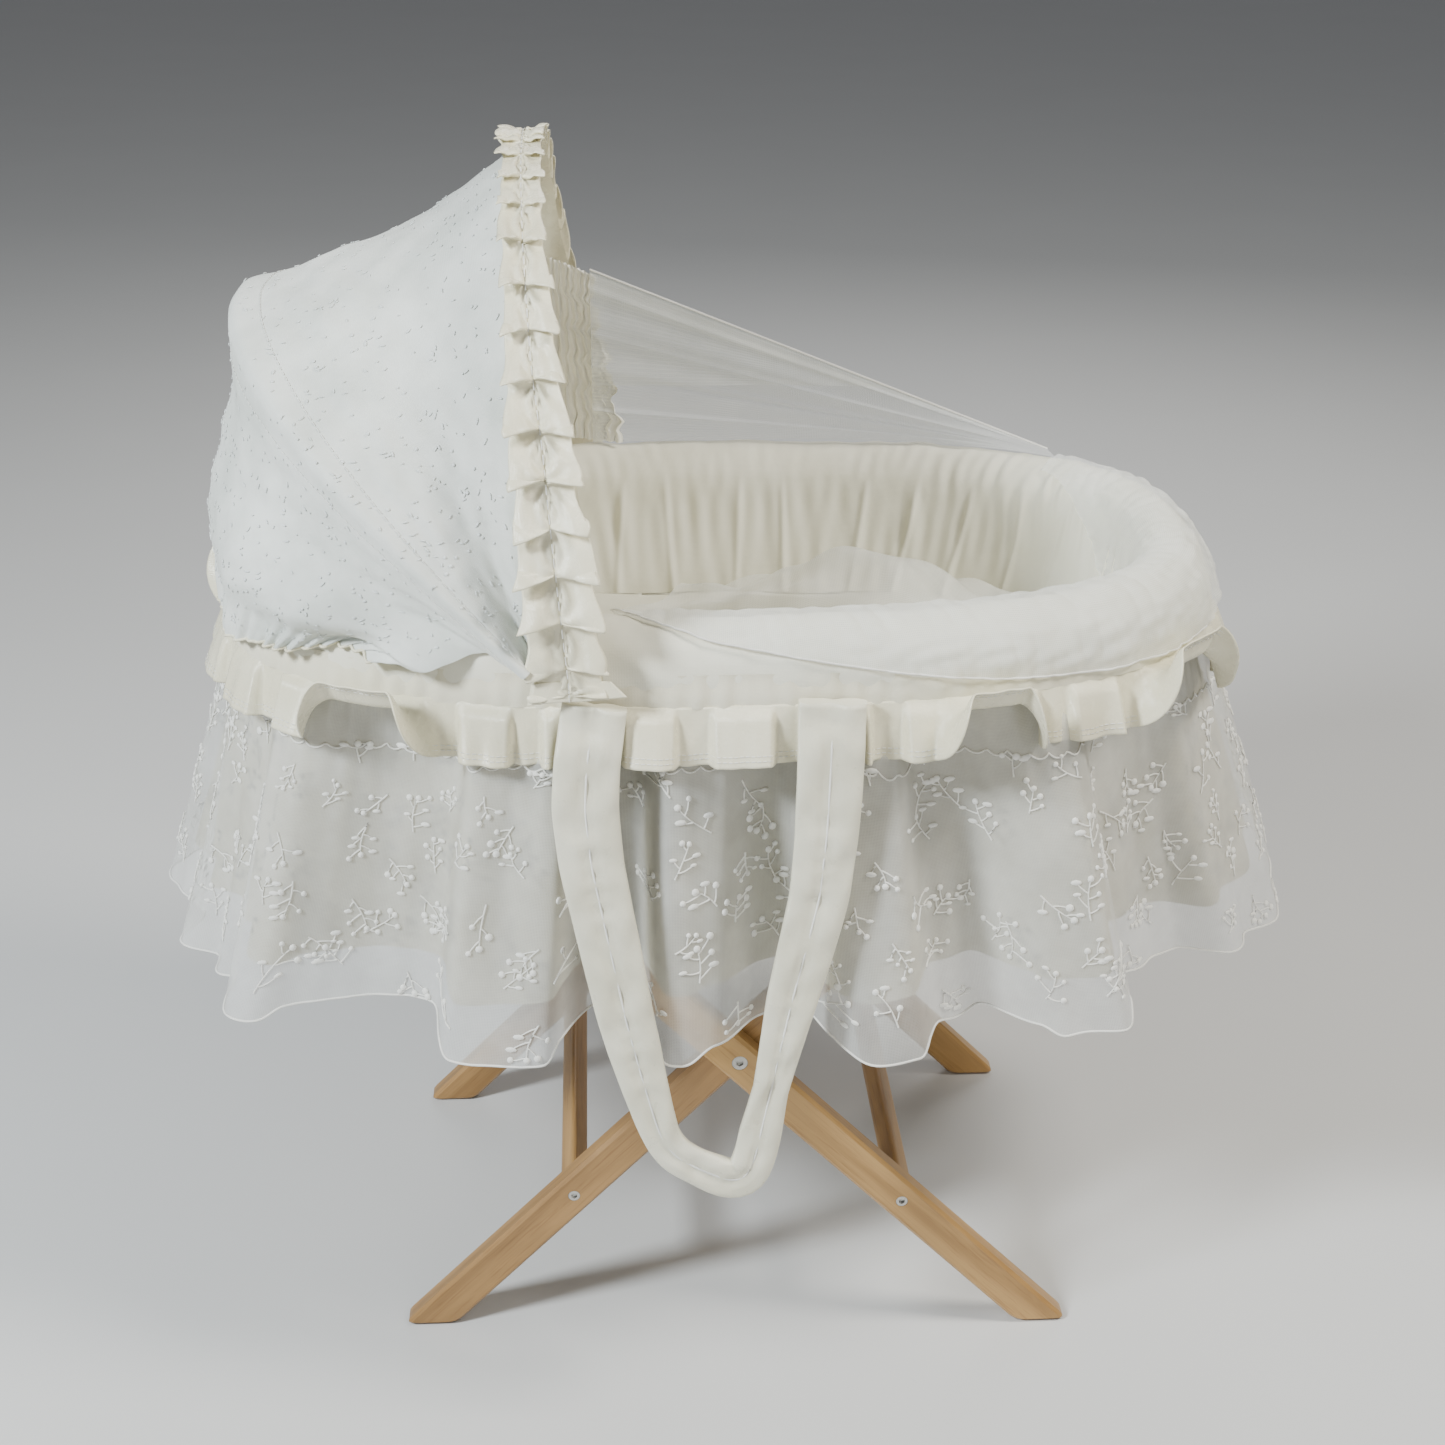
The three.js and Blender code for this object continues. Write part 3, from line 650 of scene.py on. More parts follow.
def make_liner():
    visible = np.array([(30, 627), (31.5, 636), (31.5, 648), (29.5, 660), (24.5, 671), (16, 680), (6, 685.3),
                        (-5, 685.6), (-16, 681.5), (-24.5, 674), (-30, 664), (-32.5, 652), (-34, 638),
                        (-37, 620), (-40.5, 604), (-45, 588), (-50, 572), (-55, 556), (-59.5, 545),
                        (-61, 536)], float)
    hidden = np.array([(-50, 536), (-36, 572), (-22, 606), (-13, 640), (-12.5, 660), (0, 666.5), (12.5, 660),
                       (14.5, 640), (16, 627)], float)
    fine = resample(visible, 64)
    profile = np.concatenate([fine, hidden])
    s = np.linspace(0, 1, 1000, endpoint=False)[:, None]
    points = xyz(*oval(s, profile[None, :, 0]), profile[None, :, 1])
    normal = grid_normals(points, True)
    t = np.concatenate([np.linspace(0, 1, len(fine)), np.full(len(hidden), -1.0)])[None]
    shown = (t >= 0) * np.sin(np.clip(t, 0, 1) * math.pi) ** 0.25
    inside = smooth(t, 0.44, 0.60)
    push = 0.9 * ripple(s, t * 3, 51, 3, 14, 1.0)
    for centre, strength, lean in creases():
        offset = turned(s - lean * (t - 0.5) * 2, centre) * RIM_LENGTH
        push = (push - inside * strength * 4.2 * bell(offset, 3.4)
                + inside * strength * 1.5 * bell(np.abs(offset) - 16, 13))
    push = push + 0.9 * inside * ripple(s, t * 5, 53, 60, 120, 2.0)
    top = bell(t - 0.42, 0.13)
    corner = (0.25 + bell(turned(s, 0.93), 0.06) + bell(turned(s, 0.07), 0.06) + bell(turned(s, 0.45), 0.05)
              + bell(turned(s, 0.56), 0.05))
    push = push + 1.5 * top * corner * ripple(s, t * 7, 57, 80, 150, 1.6)
    outer = bell(t - 0.16, 0.16)
    push = push + 1.1 * outer * ripple(s, t * 9, 59, 24, 60, 2.4)
    points = points - normal * (push * shown)[..., None]
    liner = grid("bumper_roll", points, COTTON_WHITE, "basket", "cotton", ("bumper_liner",), wrap_u=True,
                 wrap_v=True, flip=True)


def resample(line, count):
    """Evenly spaced points on a smooth curve through the given ones."""
    line = np.asarray(line, float)
    t = run_length(line)
    wide = np.linspace(0, t[-1], 800)
    kernel = np.hanning(31) / np.hanning(31).sum()
    padded = np.pad(between(wide, t, line), ((15, 15), (0, 0)), "reflect", reflect_type="odd")
    soft = np.stack([np.convolve(column, kernel, "valid") for column in padded.T], 1)
    run = run_length(soft)
    return between(np.linspace(0, run[-1], count), run, soft)


def between(x, known, rows):
    """Each column of rows, interpolated."""
    return np.stack([np.interp(x, known, column) for column in rows.T], -1)


def make_bedding():
    pad("mattress_pad", (304, 143), 478.5, 526, 13, MATTRESS, "mattress",
        lambda x, y: 1.2 * np.sin(x / 26) * np.sin(y / 26))
    crown = lambda x, y: (5 * np.sin(x / 75 + 1) * np.cos(y / 60)
                          + 3 * np.sin(x / 23 + y / 31) * np.sin(y / 27))
    pad("quilt_pad", (313, 152), 531.2, 566, 15, COTTON_WHITE, "quilt", crown)


def pad(name, half, z0, z1, ease, material, node, relief):
    """A stuffed oval pad with soft edges."""
    ring = np.linspace(0, 1, 260, endpoint=False)[:, None]
    angle = oval_angle(ring)
    cx, cy = signed_power(np.cos(angle)), signed_power(np.sin(angle))
    turn = np.linspace(0, math.pi / 2, 7)
    # Each row: share of the half size, inset from there, height.
    rows = [(share, 0, z0) for share in (1e-3, 0.4, 0.8)]
    rows += [(1, ease * (1 - math.sin(a)), z0 + ease * (1 - math.cos(a))) for a in turn]
    rows += [(1, ease * (1 - math.cos(a)), z1 - ease * (1 - math.sin(a))) for a in turn]
    sides = len(rows)
    rows += [(share, 0, z1) for share in (*np.linspace(0.93, 0.0, 22)[:-1], 1e-3)]
    columns = []
    for index, (share, inset, z) in enumerate(rows):
        x, y = RIM_X + (half[0] * share - inset) * cx, (half[1] * share - inset) * cy
        lift = 0
        if index >= sides:
            inside = 1 - share ** 2
            lift = inside * 10 + relief(x, y) * smooth(inside, 0, 0.3)
        columns.append(xyz(x, y, z + lift)[:, 0])
    piece = grid(name, np.stack(columns, 1), material, "basket", "cotton", (node,), wrap_u=True)


# ------------------------------------------------------------------ hood
HOOD_X, HOOD_Z = -148.0, 652.0
HOOD_ROUND = 2.2
FRONT, REAR, REAR_END = math.radians(92.4), math.radians(136.6), math.radians(176.0)
HOOD_MIDDLE = np.array([-230, 0, 740])
COVER_FRONT, COVER_REAR, RUFFLE_BASE = (344.5, 258.5), (332.5, 260.5), (349.5, 262.5)  # reach and half width


def on_hoop(t, angle, size, inset=0.0):
    """Point on a hoop: t from 0 at the near hinge to pi at the far one."""
    e = 2 / HOOD_ROUND
    reach = (size[0] - inset) * np.abs(np.sin(t)) ** e
    y = -(size[1] - inset) * np.sign(np.cos(t)) * np.abs(np.cos(t)) ** e
    return xyz(HOOD_X + reach * np.cos(angle), y, HOOD_Z + reach * np.sin(angle))


def hood_edge(t, offset, side_z, head_z):
    span = 1.98
    angle = -math.pi + span / 2 - t / math.pi * span
    x = RIM_X + (RIM_A + offset) * signed_power(np.cos(angle))
    y = (RIM_B + offset) * signed_power(np.sin(angle))
    return xyz(x, y, side_z + (head_z - side_z) * np.sin(t) ** 2)


def hood_surface(t, v, inset=0.0, offset=41.0, side_z=660.0, head_z=632.0, bulge=1.0):
    """v from 0 at the front hoop, 1 at the rear hoop, 2 at the lower edge."""
    front, rear = on_hoop(t, FRONT, COVER_FRONT, inset), on_hoop(t, REAR, COVER_REAR, inset)
    edge = hood_edge(t, offset - inset, side_z, head_z)
    middle = (rear + edge) / 2
    swell = 23 * bulge * np.sin(t) ** 1.2 + 8 * bulge
    control = middle + xyz(-np.sin(t) * swell, -0.5 * np.cos(t) * swell, -26 * np.sin(t))
    a = np.clip(v, 0, 1)[..., None]
    b = np.clip(v - 1, 0, 1)[..., None]
    top = front * (1 - a) + rear * a
    low = rear * (1 - b) ** 2 + control * 2 * b * (1 - b) + edge * b ** 2
    return np.where(v[..., None] <= 1, top, low)


def hood_grid(ends, front, nt, nv):
    return np.meshgrid(np.linspace(ends, math.pi - ends, nt), np.linspace(front, 2, nv), indexing="ij")


def outward_normals(surface):
    normal = grid_normals(surface)
    return normal * np.sign(((surface - HOOD_MIDDLE) * normal).sum(-1, keepdims=True))


def make_hood():
    t, v = hood_grid(0.045, 0.0, 260, 120)
    base = hood_surface(t, v)
    normal = outward_normals(base)
    u = t / math.pi
    side = 1 - np.sin(t)
    fold = -13.0 * np.sin(math.pi * np.clip(v * 1.14, 0, 1)) ** 1.3 * np.sin(t) ** 0.5
    channel = (3.4 * bell(v - 1.0, 0.07) + 2.6 * bell(v - 1.0, 0.034) - 1.0 * bell(v - 1.085, 0.016)
               - 1.0 * bell(v - 0.915, 0.016))
    hollows = (6.5 * bell(v - 1.19, 0.085) + 3.5 * bell(v - 0.83, 0.07)) * np.sin(t) ** 0.6
    hang = smooth(v, 1.15, 1.7) * 4.5 * ripple(u * 0.5, v * 2, 71, 6, 16, 1.2)
    gathers = smooth(v, 1.66, 2.0) * 2.2 * ripple(u * 0.5, v * 3, 73, 50, 90, 1.5)
    drag = (side ** 1.4 * 9.0 * np.sin(v * 7.5 + 0.6 + 0.8 * np.sin(u * 13)) * smooth(v, 0.15, 0.6)
            * (1 - smooth(v, 1.85, 2)))
    belly = (9.0 * np.sin(t) ** 0.8 * (1 - 0.8 * np.sin(t) ** 6) * bell(v - 1.62, 0.16)
             - (6.0 + 6.0 * side ** 0.5) * bell(v - 1.34, 0.14))
    crumple = (0.9 * ripple(u * 0.5, v * 9, 77, 9, 30, 3.0) * np.sin(math.pi * v / 2) ** 0.5
               * (1 - bell(v - 1, 0.12)))
    lower = -6 * bell(v - 1.82, 0.10) * (0.4 + side)
    push = fold + channel - hollows + hang + gathers + drag + belly + crumple + lower
    surface = base + normal * push[..., None]
    cover = grid("hood_cloth", surface, HOOD_CLOTH_PAINTED_SHADE, None, "lace", ("hood_cover",))
    blend_hood(cover)
    raised, line_t = surface + normal * 0.5, np.linspace(0.06, math.pi - 0.06, 400)
    seams = [interp_rows(raised, t[:, 0], v[0], line_t, at) for at in (0.915, 1.085)]
    parts = [dashes(seam, 0.4, 3) for seam in seams]
    sewing = build("hood_stitching", *gather(parts), THREAD, None, "lace")
    blend_hood(sewing)
    hem = tube("hood_hem", surface[:, -1], 1.3, SATIN, None, "lace")
    blend_hood(hem)
    make_hood_lining()
    make_specks(surface + normal * 0.35, normal)


def interp_rows(surface, t_axis, v_axis, t, v):
    """Points at (t, v) on a gridded surface."""
    j = int(np.clip(np.searchsorted(v_axis, v) - 1, 0, len(v_axis) - 2))
    f = (v - v_axis[j]) / (v_axis[j + 1] - v_axis[j])
    return between(t, t_axis, surface[:, j] * (1 - f) + surface[:, j + 1] * f)


def make_hood_lining():
    t, v = hood_grid(0.13, 0.02, 160, 60)
    base = hood_surface(t, v, 15.0 - 11.5 * (1 - smooth(v, 0, 0.10)), 24.0, 697.0, 693.0, 0.5)
    base[..., 0] += 5.0 * (1 - smooth(v, 0, 0.07)) * np.sin(t) ** 0.3
    normal = outward_normals(base)
    u = t / math.pi
    push = 2.0 * ripple(u * 0.5, v * 2, 81, 8, 24, 1.5) * smooth(v, 0.05, 0.5) * (1 - 0.9 * bell(v - 1, 0.15))
    sag = (12.5 * np.sin(math.pi * np.clip(v * 1.14, 0, 1)) ** 1.3 * np.sin(t) ** 0.5
           + 6.0 * bell(v - 1, 0.16) + 5.0 * bell(v - 1.34, 0.2) + 5.0 * bell(v - 1.19, 0.12))
    sag = sag + 2.8 * bell(v - 0.78, 0.2) * (1 - smooth(np.sin(t), 0.2, 0.4))
    lining = grid("hood_inner_cloth", base + normal * (push - sag)[..., None], COTTON, None, "cotton",
                  ("hood_lining",))
    blend_hood(lining)


def make_specks(surface, normal):
    """Small embroidered flecks over the hood, most of them short strokes and dots."""
    random = np.random.default_rng(23)
    nt, nv = surface.shape[:2]
    sphere = blob_mesh(4, 6)
    parts = []
    for _ in range(1500):
        i, j = random.integers(6, nt - 6), random.integers(3, nv - 6)
        centre = surface[i, j]
        across, up = unit(surface[i + 1, j] - centre), unit(surface[i, j + 1] - centre)
        angle = random.uniform(0, TAU)
        size = random.uniform(0.8, 1.9)
        shape = (size * 1.6, size * 0.5, 0.42) if random.random() < 0.6 else (size * 0.85, size * 0.85, 0.5)
        first = math.cos(angle) * across + math.sin(angle) * up
        second = -math.sin(angle) * across + math.cos(angle) * up
        parts.append(placed(sphere, centre + normal[i, j] * 0.3, (first, second, normal[i, j]), shape))
    flecks = build("hood_embroidery", *gather(parts), FLECK, None, "lace")
    blend_hood(flecks)


def blend_hood(piece):
    """Cloth between the basket and the front hoop: works out each point's angle round the hinge, which nothing
    then uses, and bakes the piece's transform.
    """
    mesh = piece.data
    co = np.zeros(len(mesh.vertices) * 3, np.float32)
    mesh.vertices.foreach_get("co", co)
    x, _, z = co.reshape(-1, 3).astype(float).T * 1000
    angle = math.pi - np.arctan2(z - HOOD_Z, HOOD_X - x)
    angle = np.where(z < HOOD_Z - 1, math.pi + 0.02, angle)
    blend_by(piece)


def blend_by(piece):
    """Bakes the piece's transform into its mesh."""
    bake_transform(piece)


# ------------------------------------------------------------------ ruffle on the hood's front edge
def arch(u):
    """Middle of the ruffle: u from 0 at the near tail to 1 at the far one."""
    u, tail = np.asarray(u, float), 0.035
    inner = np.clip((u - tail) / (1 - 2 * tail), 0, 1)
    table_t = np.linspace(0, math.pi, 2001)
    run = run_length(on_hoop(table_t, FRONT, RUFFLE_BASE))
    point = on_hoop(np.interp(inner * run[-1], run, table_t), FRONT, RUFFLE_BASE)
    point[..., 2] -= np.maximum(tail - np.minimum(u, 1 - u), 0) / tail * 12.0
    return point


ACROSS = np.array([math.sin(FRONT), 0.0, -math.cos(FRONT)])
# The ruffle by height: where its seam lies in front of the hoop, and its half width.
RUFFLE_Z = [640, 660, 754, 828, 880, 950, 1010]
RUFFLE_SEAM = [15.5, 15.0, 10.5, 7.5, 3.0, 1.0, 0.5]
RUFFLE_HALF = [28.0, 28.5, 27.0, 23.5, 19.5, 17.5, 17.0]


def arch_out(u):
    """Direction out of the arch, away from the hinge."""
    e = 0.002
    out = np.cross(unit(arch(np.clip(u + e, 0, 1)) - arch(np.clip(u - e, 0, 1))), ACROSS)
    middle = arch(u) - np.array([HOOD_X, 0, HOOD_Z])
    return out * np.sign((out * middle).sum(-1, keepdims=True))


def ruffle_column(name, side, pleats, seed):
    """One row of satin pleats that hang over each other, sewn down along the middle."""
    random = np.random.default_rng(seed)
    per, across_n = 24, 16
    nu = pleats * per + 1
    u = np.linspace(0, 1, nu)[:, None]
    marks = np.arange(pleats + 1)
    varied = lambda spread: np.interp(u * pleats, marks, random.uniform(-spread, spread, pleats + 1))
    w = np.linspace(0, 1, across_n)[None]
    fold = (u * pleats + 0.10 * varied(1.0)) % 1.0
    direction = np.where(u < 0.5, 1.0, -1.0)
    grow = 0.30 + 0.70 * w ** 0.7
    lap = 0.40 * grow * (1 + varied(0.25))
    place = np.clip(u + direction * lap * np.sin(TAU * fold) / pleats, 0, 1)
    rise = (0.5 - 0.5 * np.cos(TAU * fold - direction * 0.95)) ** 0.8
    level = arch(u)[..., 2]
    flat = (0.35 + 0.65 * smooth(level, 645, 720)) * (1 - 0.55 * smooth(level, 955, 995))
    tall = (2.4 + (9.5 if side > 0 else 10.5) * w ** 1.1) * (1 + varied(0.30)) * flat
    pad = 5.0 * np.sin(math.pi * w) ** 0.8 * rise * flat
    rays = np.sin(9 * (fold - 0.5) / (0.25 + w) + 5 * varied(1.0))
    dimple = (-1.7 * rise * bell(w - 0.45 - varied(0.2), 0.14) + 1.6 * rays * (1 - w) ** 0.5
              * smooth(w, 0, 0.15))
    base = arch(place)
    out = arch_out(place)
    seam = np.interp(base[..., 2], RUFFLE_Z, RUFFLE_SEAM)
    half = (np.interp(base[..., 2], RUFFLE_Z, RUFFLE_HALF) * (1 + varied(0.10))
            * (0.90 + 0.20 * rise + 0.05 * np.sin(TAU * fold * 2 + 6 * varied(1.0))))
    reach = seam + side * (w ** 0.95) * half
    points = base + ACROSS * reach[..., None] + out * (rise * tall + pad + dimple + 1.4)[..., None]
    return grid(name, points, SATIN, "hood_front", "satin", ("hood_ruffle",), flip=side > 0)


def make_ruffle():
    front = ruffle_column("hood_ruffle_front", 1, 30, 61)
    back = ruffle_column("hood_ruffle_back", -1, 30, 62)
    for piece in (front, back):
        thicken(piece, 0.0009)
    u = np.linspace(0.002, 0.998, 300)
    tape_line = arch(u)
    out = arch_out(u)
    seam = np.interp(tape_line[:, 2], RUFFLE_Z, RUFFLE_SEAM)[:, None, None]
    half = np.interp(tape_line[:, 2], RUFFLE_Z, RUFFLE_HALF)[:, None, None] - 3
    w = np.linspace(-1, 1, 5)[None, :, None]
    tape = grid("hood_ruffle_tape", tape_line[:, None] + ACROSS * (seam + w * half) + out[:, None] * 0.3,
                SATIN, "hood_front", "satin")
    line = tape_line + ACROSS * seam[:, 0] + out * 4.4
    sewing = build("hood_ruffle_stitching", *dashes(line, 0.5, 3), THREAD, "hood_front", "satin")
    make_ruffle_tail()


def make_ruffle_tail():
    """The loose end of the near ruffle, turned out over the frill."""
    a, b = np.linspace(0, 1, 26)[:, None], np.linspace(0, 1, 16)[None]
    x = -160 + 57 * a + b * (16 * a - 4) + 2.5 * np.sin(a * 9)
    y = -264 - 1.8 * np.sin(a * 7 + 0.6) - b * (2 + 3 * a)
    z = 656 - b * (17 - 6 * a) + 1.2 * np.sin(a * 8)
    tail = grid("hood_ruffle_tail", xyz(x, y, z), SATIN, "hood_front", "satin")
    thicken(tail, 0.0009)


# ------------------------------------------------------------------ netting
def mixed(start, end, share):
    return start * (1 - share[..., None]) + end * share[..., None]


def make_netting():
    """The taut net from the far side of the hood to the far rim, with folds that run together at the foot."""
    nu, nv = 120, 150
    u = np.linspace(0, 1, nu)[:, None]
    v = np.linspace(0, 1, nv)[None]
    start, end = np.array([-113, 184, 855.0]), np.array([306, 190, 683.0])
    top = start + (end - start) * u[..., None]
    x = top[..., 0]
    foot_y = RIM_B * (1 - np.clip(np.abs((x - RIM_X) / RIM_A), 0, 1) ** ROUND) ** (1 / ROUND)
    low = xyz(x, foot_y - 4, 689.0)
    folded = v + 0.030 * np.sin(TAU * v * 4.2) * np.sin(math.pi * v)
    points = mixed(top, low, folded)
    fold = 3.0 * np.sin(v * 19 + 2.0 * u) * np.sin(math.pi * v)
    for at, wide, deep in ((0.10, 0.022, 5), (0.33, 0.016, 6), (0.52, 0.02, 4), (0.78, 0.018, 5)):
        fold = fold + deep * bell(v - at, wide)
    points[..., 1] -= fold * (0.25 + 0.75 * (1 - u) ** 0.8)
    points[..., 2] -= 5.0 * np.sin(math.pi * u) * np.sin(math.pi * v)
    canopy = grid("net_panel", points, NET, None, "net", ("netting",))
    blend_by(canopy)
    reach = (top[..., 2] - 747.0) / np.maximum(top[..., 2] - low[..., 2], 1)
    share = np.linspace(0, 1, 105)[None] * np.clip(reach, 0.02, 1)
    second = mixed(top, low, share)
    second[..., 1] -= 7 + 2.0 * np.sin(share * 24 + 1.0)
    double = grid("net_panel_fold", second, NET, None, "net")
    blend_by(double)
    band_v = np.linspace(0, 1, 12)[None]
    band = mixed(top, low, 0.16 * band_v)
    band[..., 1] += 3 + 1.5 * np.sin(band_v * 5)
    hem = grid("net_panel_hem", band, NET, None, "net")
    blend_by(hem)
    cord = tube("net_panel_edge", top[:, 0] + np.array([0, 0, 0.6]), 0.9, THREAD, None, "net")
    blend_by(cord)


def make_net_heading():
    """The gathered heading of the net, inside the far edge of the hood."""
    nw, nv = 150, 40
    w = np.linspace(0, 1, nw)[:, None]
    v = np.linspace(0, 1, nv)[None]
    z = 860 - 170 * v + (0.5 - w) * 16 * (1 - v)
    height = np.clip((z - HOOD_Z) / 338.0, 0, 1)
    hoop_y = 250 * (1 - height ** HOOD_ROUND) ** (1 / HOOD_ROUND)
    ragged = 3 * np.sin(v * 31) + 2 * np.sin(v * 67)
    points = mixed(xyz(-152, hoop_y - 17, z), xyz(-113 + 29 * v + ragged, 183 + 22 * v, z), w)
    flare = (2.3 * np.sin(TAU * w * 7 + 1.3 * np.sin(v * 6)) * (0.5 + 0.5 * v)
             + 1.2 * np.sin(TAU * w * 17 + 9 * v))
    points[..., 1] += flare
    points[..., 0] += 1.5 * np.cos(TAU * w * 7 + v * 12)
    heading = grid("net_heading", points, VOILE, None, "net")
    blend_by(heading)


def make_net_drape():
    """The loose net: over the foot end of the roll, with its hem lying slantwise on the near side."""
    profile = resample(np.array([(34.6, 634), (34.2, 650), (31.8, 662), (26, 673.5), (16.8, 682.6), (6, 688),
                                 (-6, 688.2), (-17.5, 684), (-26.5, 675.6), (-32, 665), (-34.8, 652),
                                 (-36.5, 638), (-39.5, 620), (-43, 604)], float), 60)
    along = np.linspace(0, 1, 520)[:, None]
    s = near_s(-104.0) + along * (1.085 - near_s(-104.0))
    x_here = oval(s, 0)[0]
    hem_near = np.interp(x_here, [-108, -72, -28, 34, 110, 180, 260],
                         [0.50, 0.36, 0.255, 0.175, 0.09, 0.03, 0.0])
    hem = np.where(s < 1.0, hem_near, 0.36 * smooth(s, 1.04, 1.085))
    inner = 1.0 - 0.30 * (1 - smooth(along, 0, 0.10)) - 0.45 * smooth(along, 0.80, 1)
    v = np.linspace(0, 1, 60)[None]
    place = hem + (inner - hem) * v
    index = place * (len(profile) - 1)
    out, z = np.moveaxis(between(index, np.arange(len(profile)), profile), -1, 0)
    creases_here = (1.3 * np.abs(ripple(s, place * 6, 91, 30, 80, 2.2))
                    + 1.7 * np.abs(ripple(s, place * 14, 93, 12, 30, 3.0)))
    x, y = oval(s, out + creases_here * np.cos(place * math.pi) ** 2)
    points = xyz(x, y, z + creases_here * np.sin(np.clip(place, 0, 1) * math.pi))
    drape = grid("net_drape", points, VOILE_WHITE, "basket", "net")
    hem_line = points[:, 0] + np.array([0, 0, 0.3])
    edge = tube("net_drape_hem", hem_line[:330], 0.9, THREAD, "basket", "net")


def make_net_mound():
    """The rest of the net, puffed up on the quilt."""
    x, y = np.meshgrid(np.linspace(-95, 262, 130), np.linspace(-150, 118, 80), indexing="ij")
    far = 118 - 60 * smooth(np.abs(x - 110), 60, 190)
    y = -150 + (y + 150) / 268 * (far + 150)
    hill = 70 * bell(x - 118, 100) * bell(y - 10, 88)
    arm = 16 * bell((y - 84) + (x + 60) * 0.42, 13) * smooth(-x, -70, 40)
    ridge = 10 * bell((y - 20) + (x + 20) * 0.55, 14) * bell(x + 10, 80)
    z = (582 + hill + arm + ridge + 2.6 * np.sin(x / 16 + y / 23 + 1.5 * np.sin(y / 40))
         + 2.2 * np.sin(x / 11 - y / 17 + np.sin(x / 50)))
    near = smooth(-y, 96, 150)
    z = z + near * 34
    rim_gap = np.clip(1 - (np.abs((x - RIM_X) / 312) ** ROUND + np.abs(y / 151) ** ROUND), 0, 1)
    edge = smooth(rim_gap, 0.0, 0.25)
    z = 580 + (z - 580) * np.maximum(edge, near)
    spread = (np.abs((x - RIM_X) / 322) ** ROUND + np.abs(y / 162) ** ROUND) ** (1 / ROUND)
    shrink = np.minimum(0.955 / np.maximum(spread, 1e-6), 1.0)  # keeps the heap inside the liner
    mound = grid("net_mound", xyz(RIM_X + (x - RIM_X) * shrink, y * shrink, z), VOILE_WHITE, "basket", "net")


# ------------------------------------------------------------------ carry handles
STRAP_SIDES, STRAP_THICK = 36, 9.0


def softened(x, power):
    return np.sign(x) * np.abs(x) ** power


def strap_mesh(path, width, y_of):
    """A flat stuffed strap along (x, z) points, its section rounded and pinched at the middle seam."""
    fine = resample(path, 200)
    run = np.linspace(0, 1, 200)[:, None]
    widths = np.interp(run, np.linspace(0, 1, len(width)), width)
    tangent = unit(np.gradient(fine, axis=0))
    angle = np.arange(STRAP_SIDES)[None] / STRAP_SIDES * TAU
    across, depth = softened(np.cos(angle), 0.75), softened(np.sin(angle), 0.8)
    lobes = 0.22 + np.sqrt(np.clip(1 - ((np.abs(across) - 0.5) / 0.52) ** 2, 0, 1))
    puff = 1 + 0.16 * np.sin(run * 60 + 3 * across) + 0.1 * np.sin(run * 151 + 1.7)
    crease = 1.0 * np.sin(run * 95 + 5 * across) + 0.6 * np.sin(run * 210 - 7 * across)
    pucker = 0.9 * np.sin(run * 260 + 3 * np.sin(run * 37)) * bell(across, 0.30)
    x = fine[:, :1] - tangent[:, 1:] * across * widths / 2
    z = fine[:, 1:] + tangent[:, :1] * across * widths / 2
    y = y_of(z) + np.sign(depth) * lobes * puff * STRAP_THICK / 2 + (0.45 * crease + pucker) * np.abs(depth)
    return xyz(x, y, z), fine


def make_handles():
    near_path = [(-114, 634), (-117, 616), (-121, 590), (-123, 555), (-119, 510), (-113, 478), (-104, 430),
                 (-95, 382), (-84, 335), (-74, 296), (-67, 274), (-56, 259), (-36, 247), (-14, 237),
                 (-2, 238), (6, 256), (13, 290), (23, 338), (34, 391), (46, 440), (55, 480), (60, 530),
                 (62, 575), (63, 612), (64, 634)]
    far_path = [(-118, 624), (-121, 560), (-112, 480), (-92, 390), (-74, 310), (-58, 262), (-26, 246),
                (6, 262), (22, 310), (40, 390), (58, 480), (67, 560), (66, 624)]
    near_width = [49, 50, 51, 50, 48, 47, 45, 42, 36, 30, 30, 34, 34, 28, 34, 40, 44, 46, 48, 50, 51, 52]
    far_width = [50, 50, 48, 46, 40, 36, 40, 46, 48, 50, 50]
    for end, outward, path, width in (("near", -1, near_path, near_width), ("far", 1, far_path, far_width)):
        lean = lambda z: outward * (266 + 39 * (621 - z) / 380.0 - 7 * smooth(z, 596, 632))
        points, middle = strap_mesh(path, width, lean)
        strap = grid(f"carry_strap_{end}", points, SATIN_STRAP, f"handle_{end}", "satin",
                     (f"carry_handle_{end}",), wrap_v=True)
        cap_ends(strap)
        x, z = middle[6:194].T
        tube(f"carry_strap_piping_{end}", xyz(x, lean(z) + outward * 2.3, z), 0.9, THREAD, f"handle_{end}",
             "satin")


def cap_ends(obj):
    """Closes the two open ends of a strap."""
    mesh = obj.data
    work = bmesh.new()
    work.from_mesh(mesh)
    verts = list(work.verts)
    work.faces.new(verts[:STRAP_SIDES])
    work.faces.new(verts[:-STRAP_SIDES - 1:-1])
    bmesh.ops.recalc_face_normals(work, faces=work.faces)
    work.to_mesh(mesh)
    work.free()


def make_tabs():
    """The stitched patches that hold the handles to the basket."""
    gx, gz = np.linspace(-1, 1, 24)[:, None], np.linspace(-1, 1, 14)[None]
    for end, outward in (("near", -1), ("far", 1)):
        for place, x in (("head", -118.0), ("foot", 66.0)):
            y = outward * (259.5 + 1.6 * (1 - gx ** 4) * (1 - gz ** 4))
            points = xyz(x + 18 * gx, y, 612 + 7.5 * gz)
            patch = grid(f"handle_patch_{end}_{place}", points, SATIN, "basket", "satin",
                         (f"handle_tab_{end}_{place}",), flip=outward > 0)


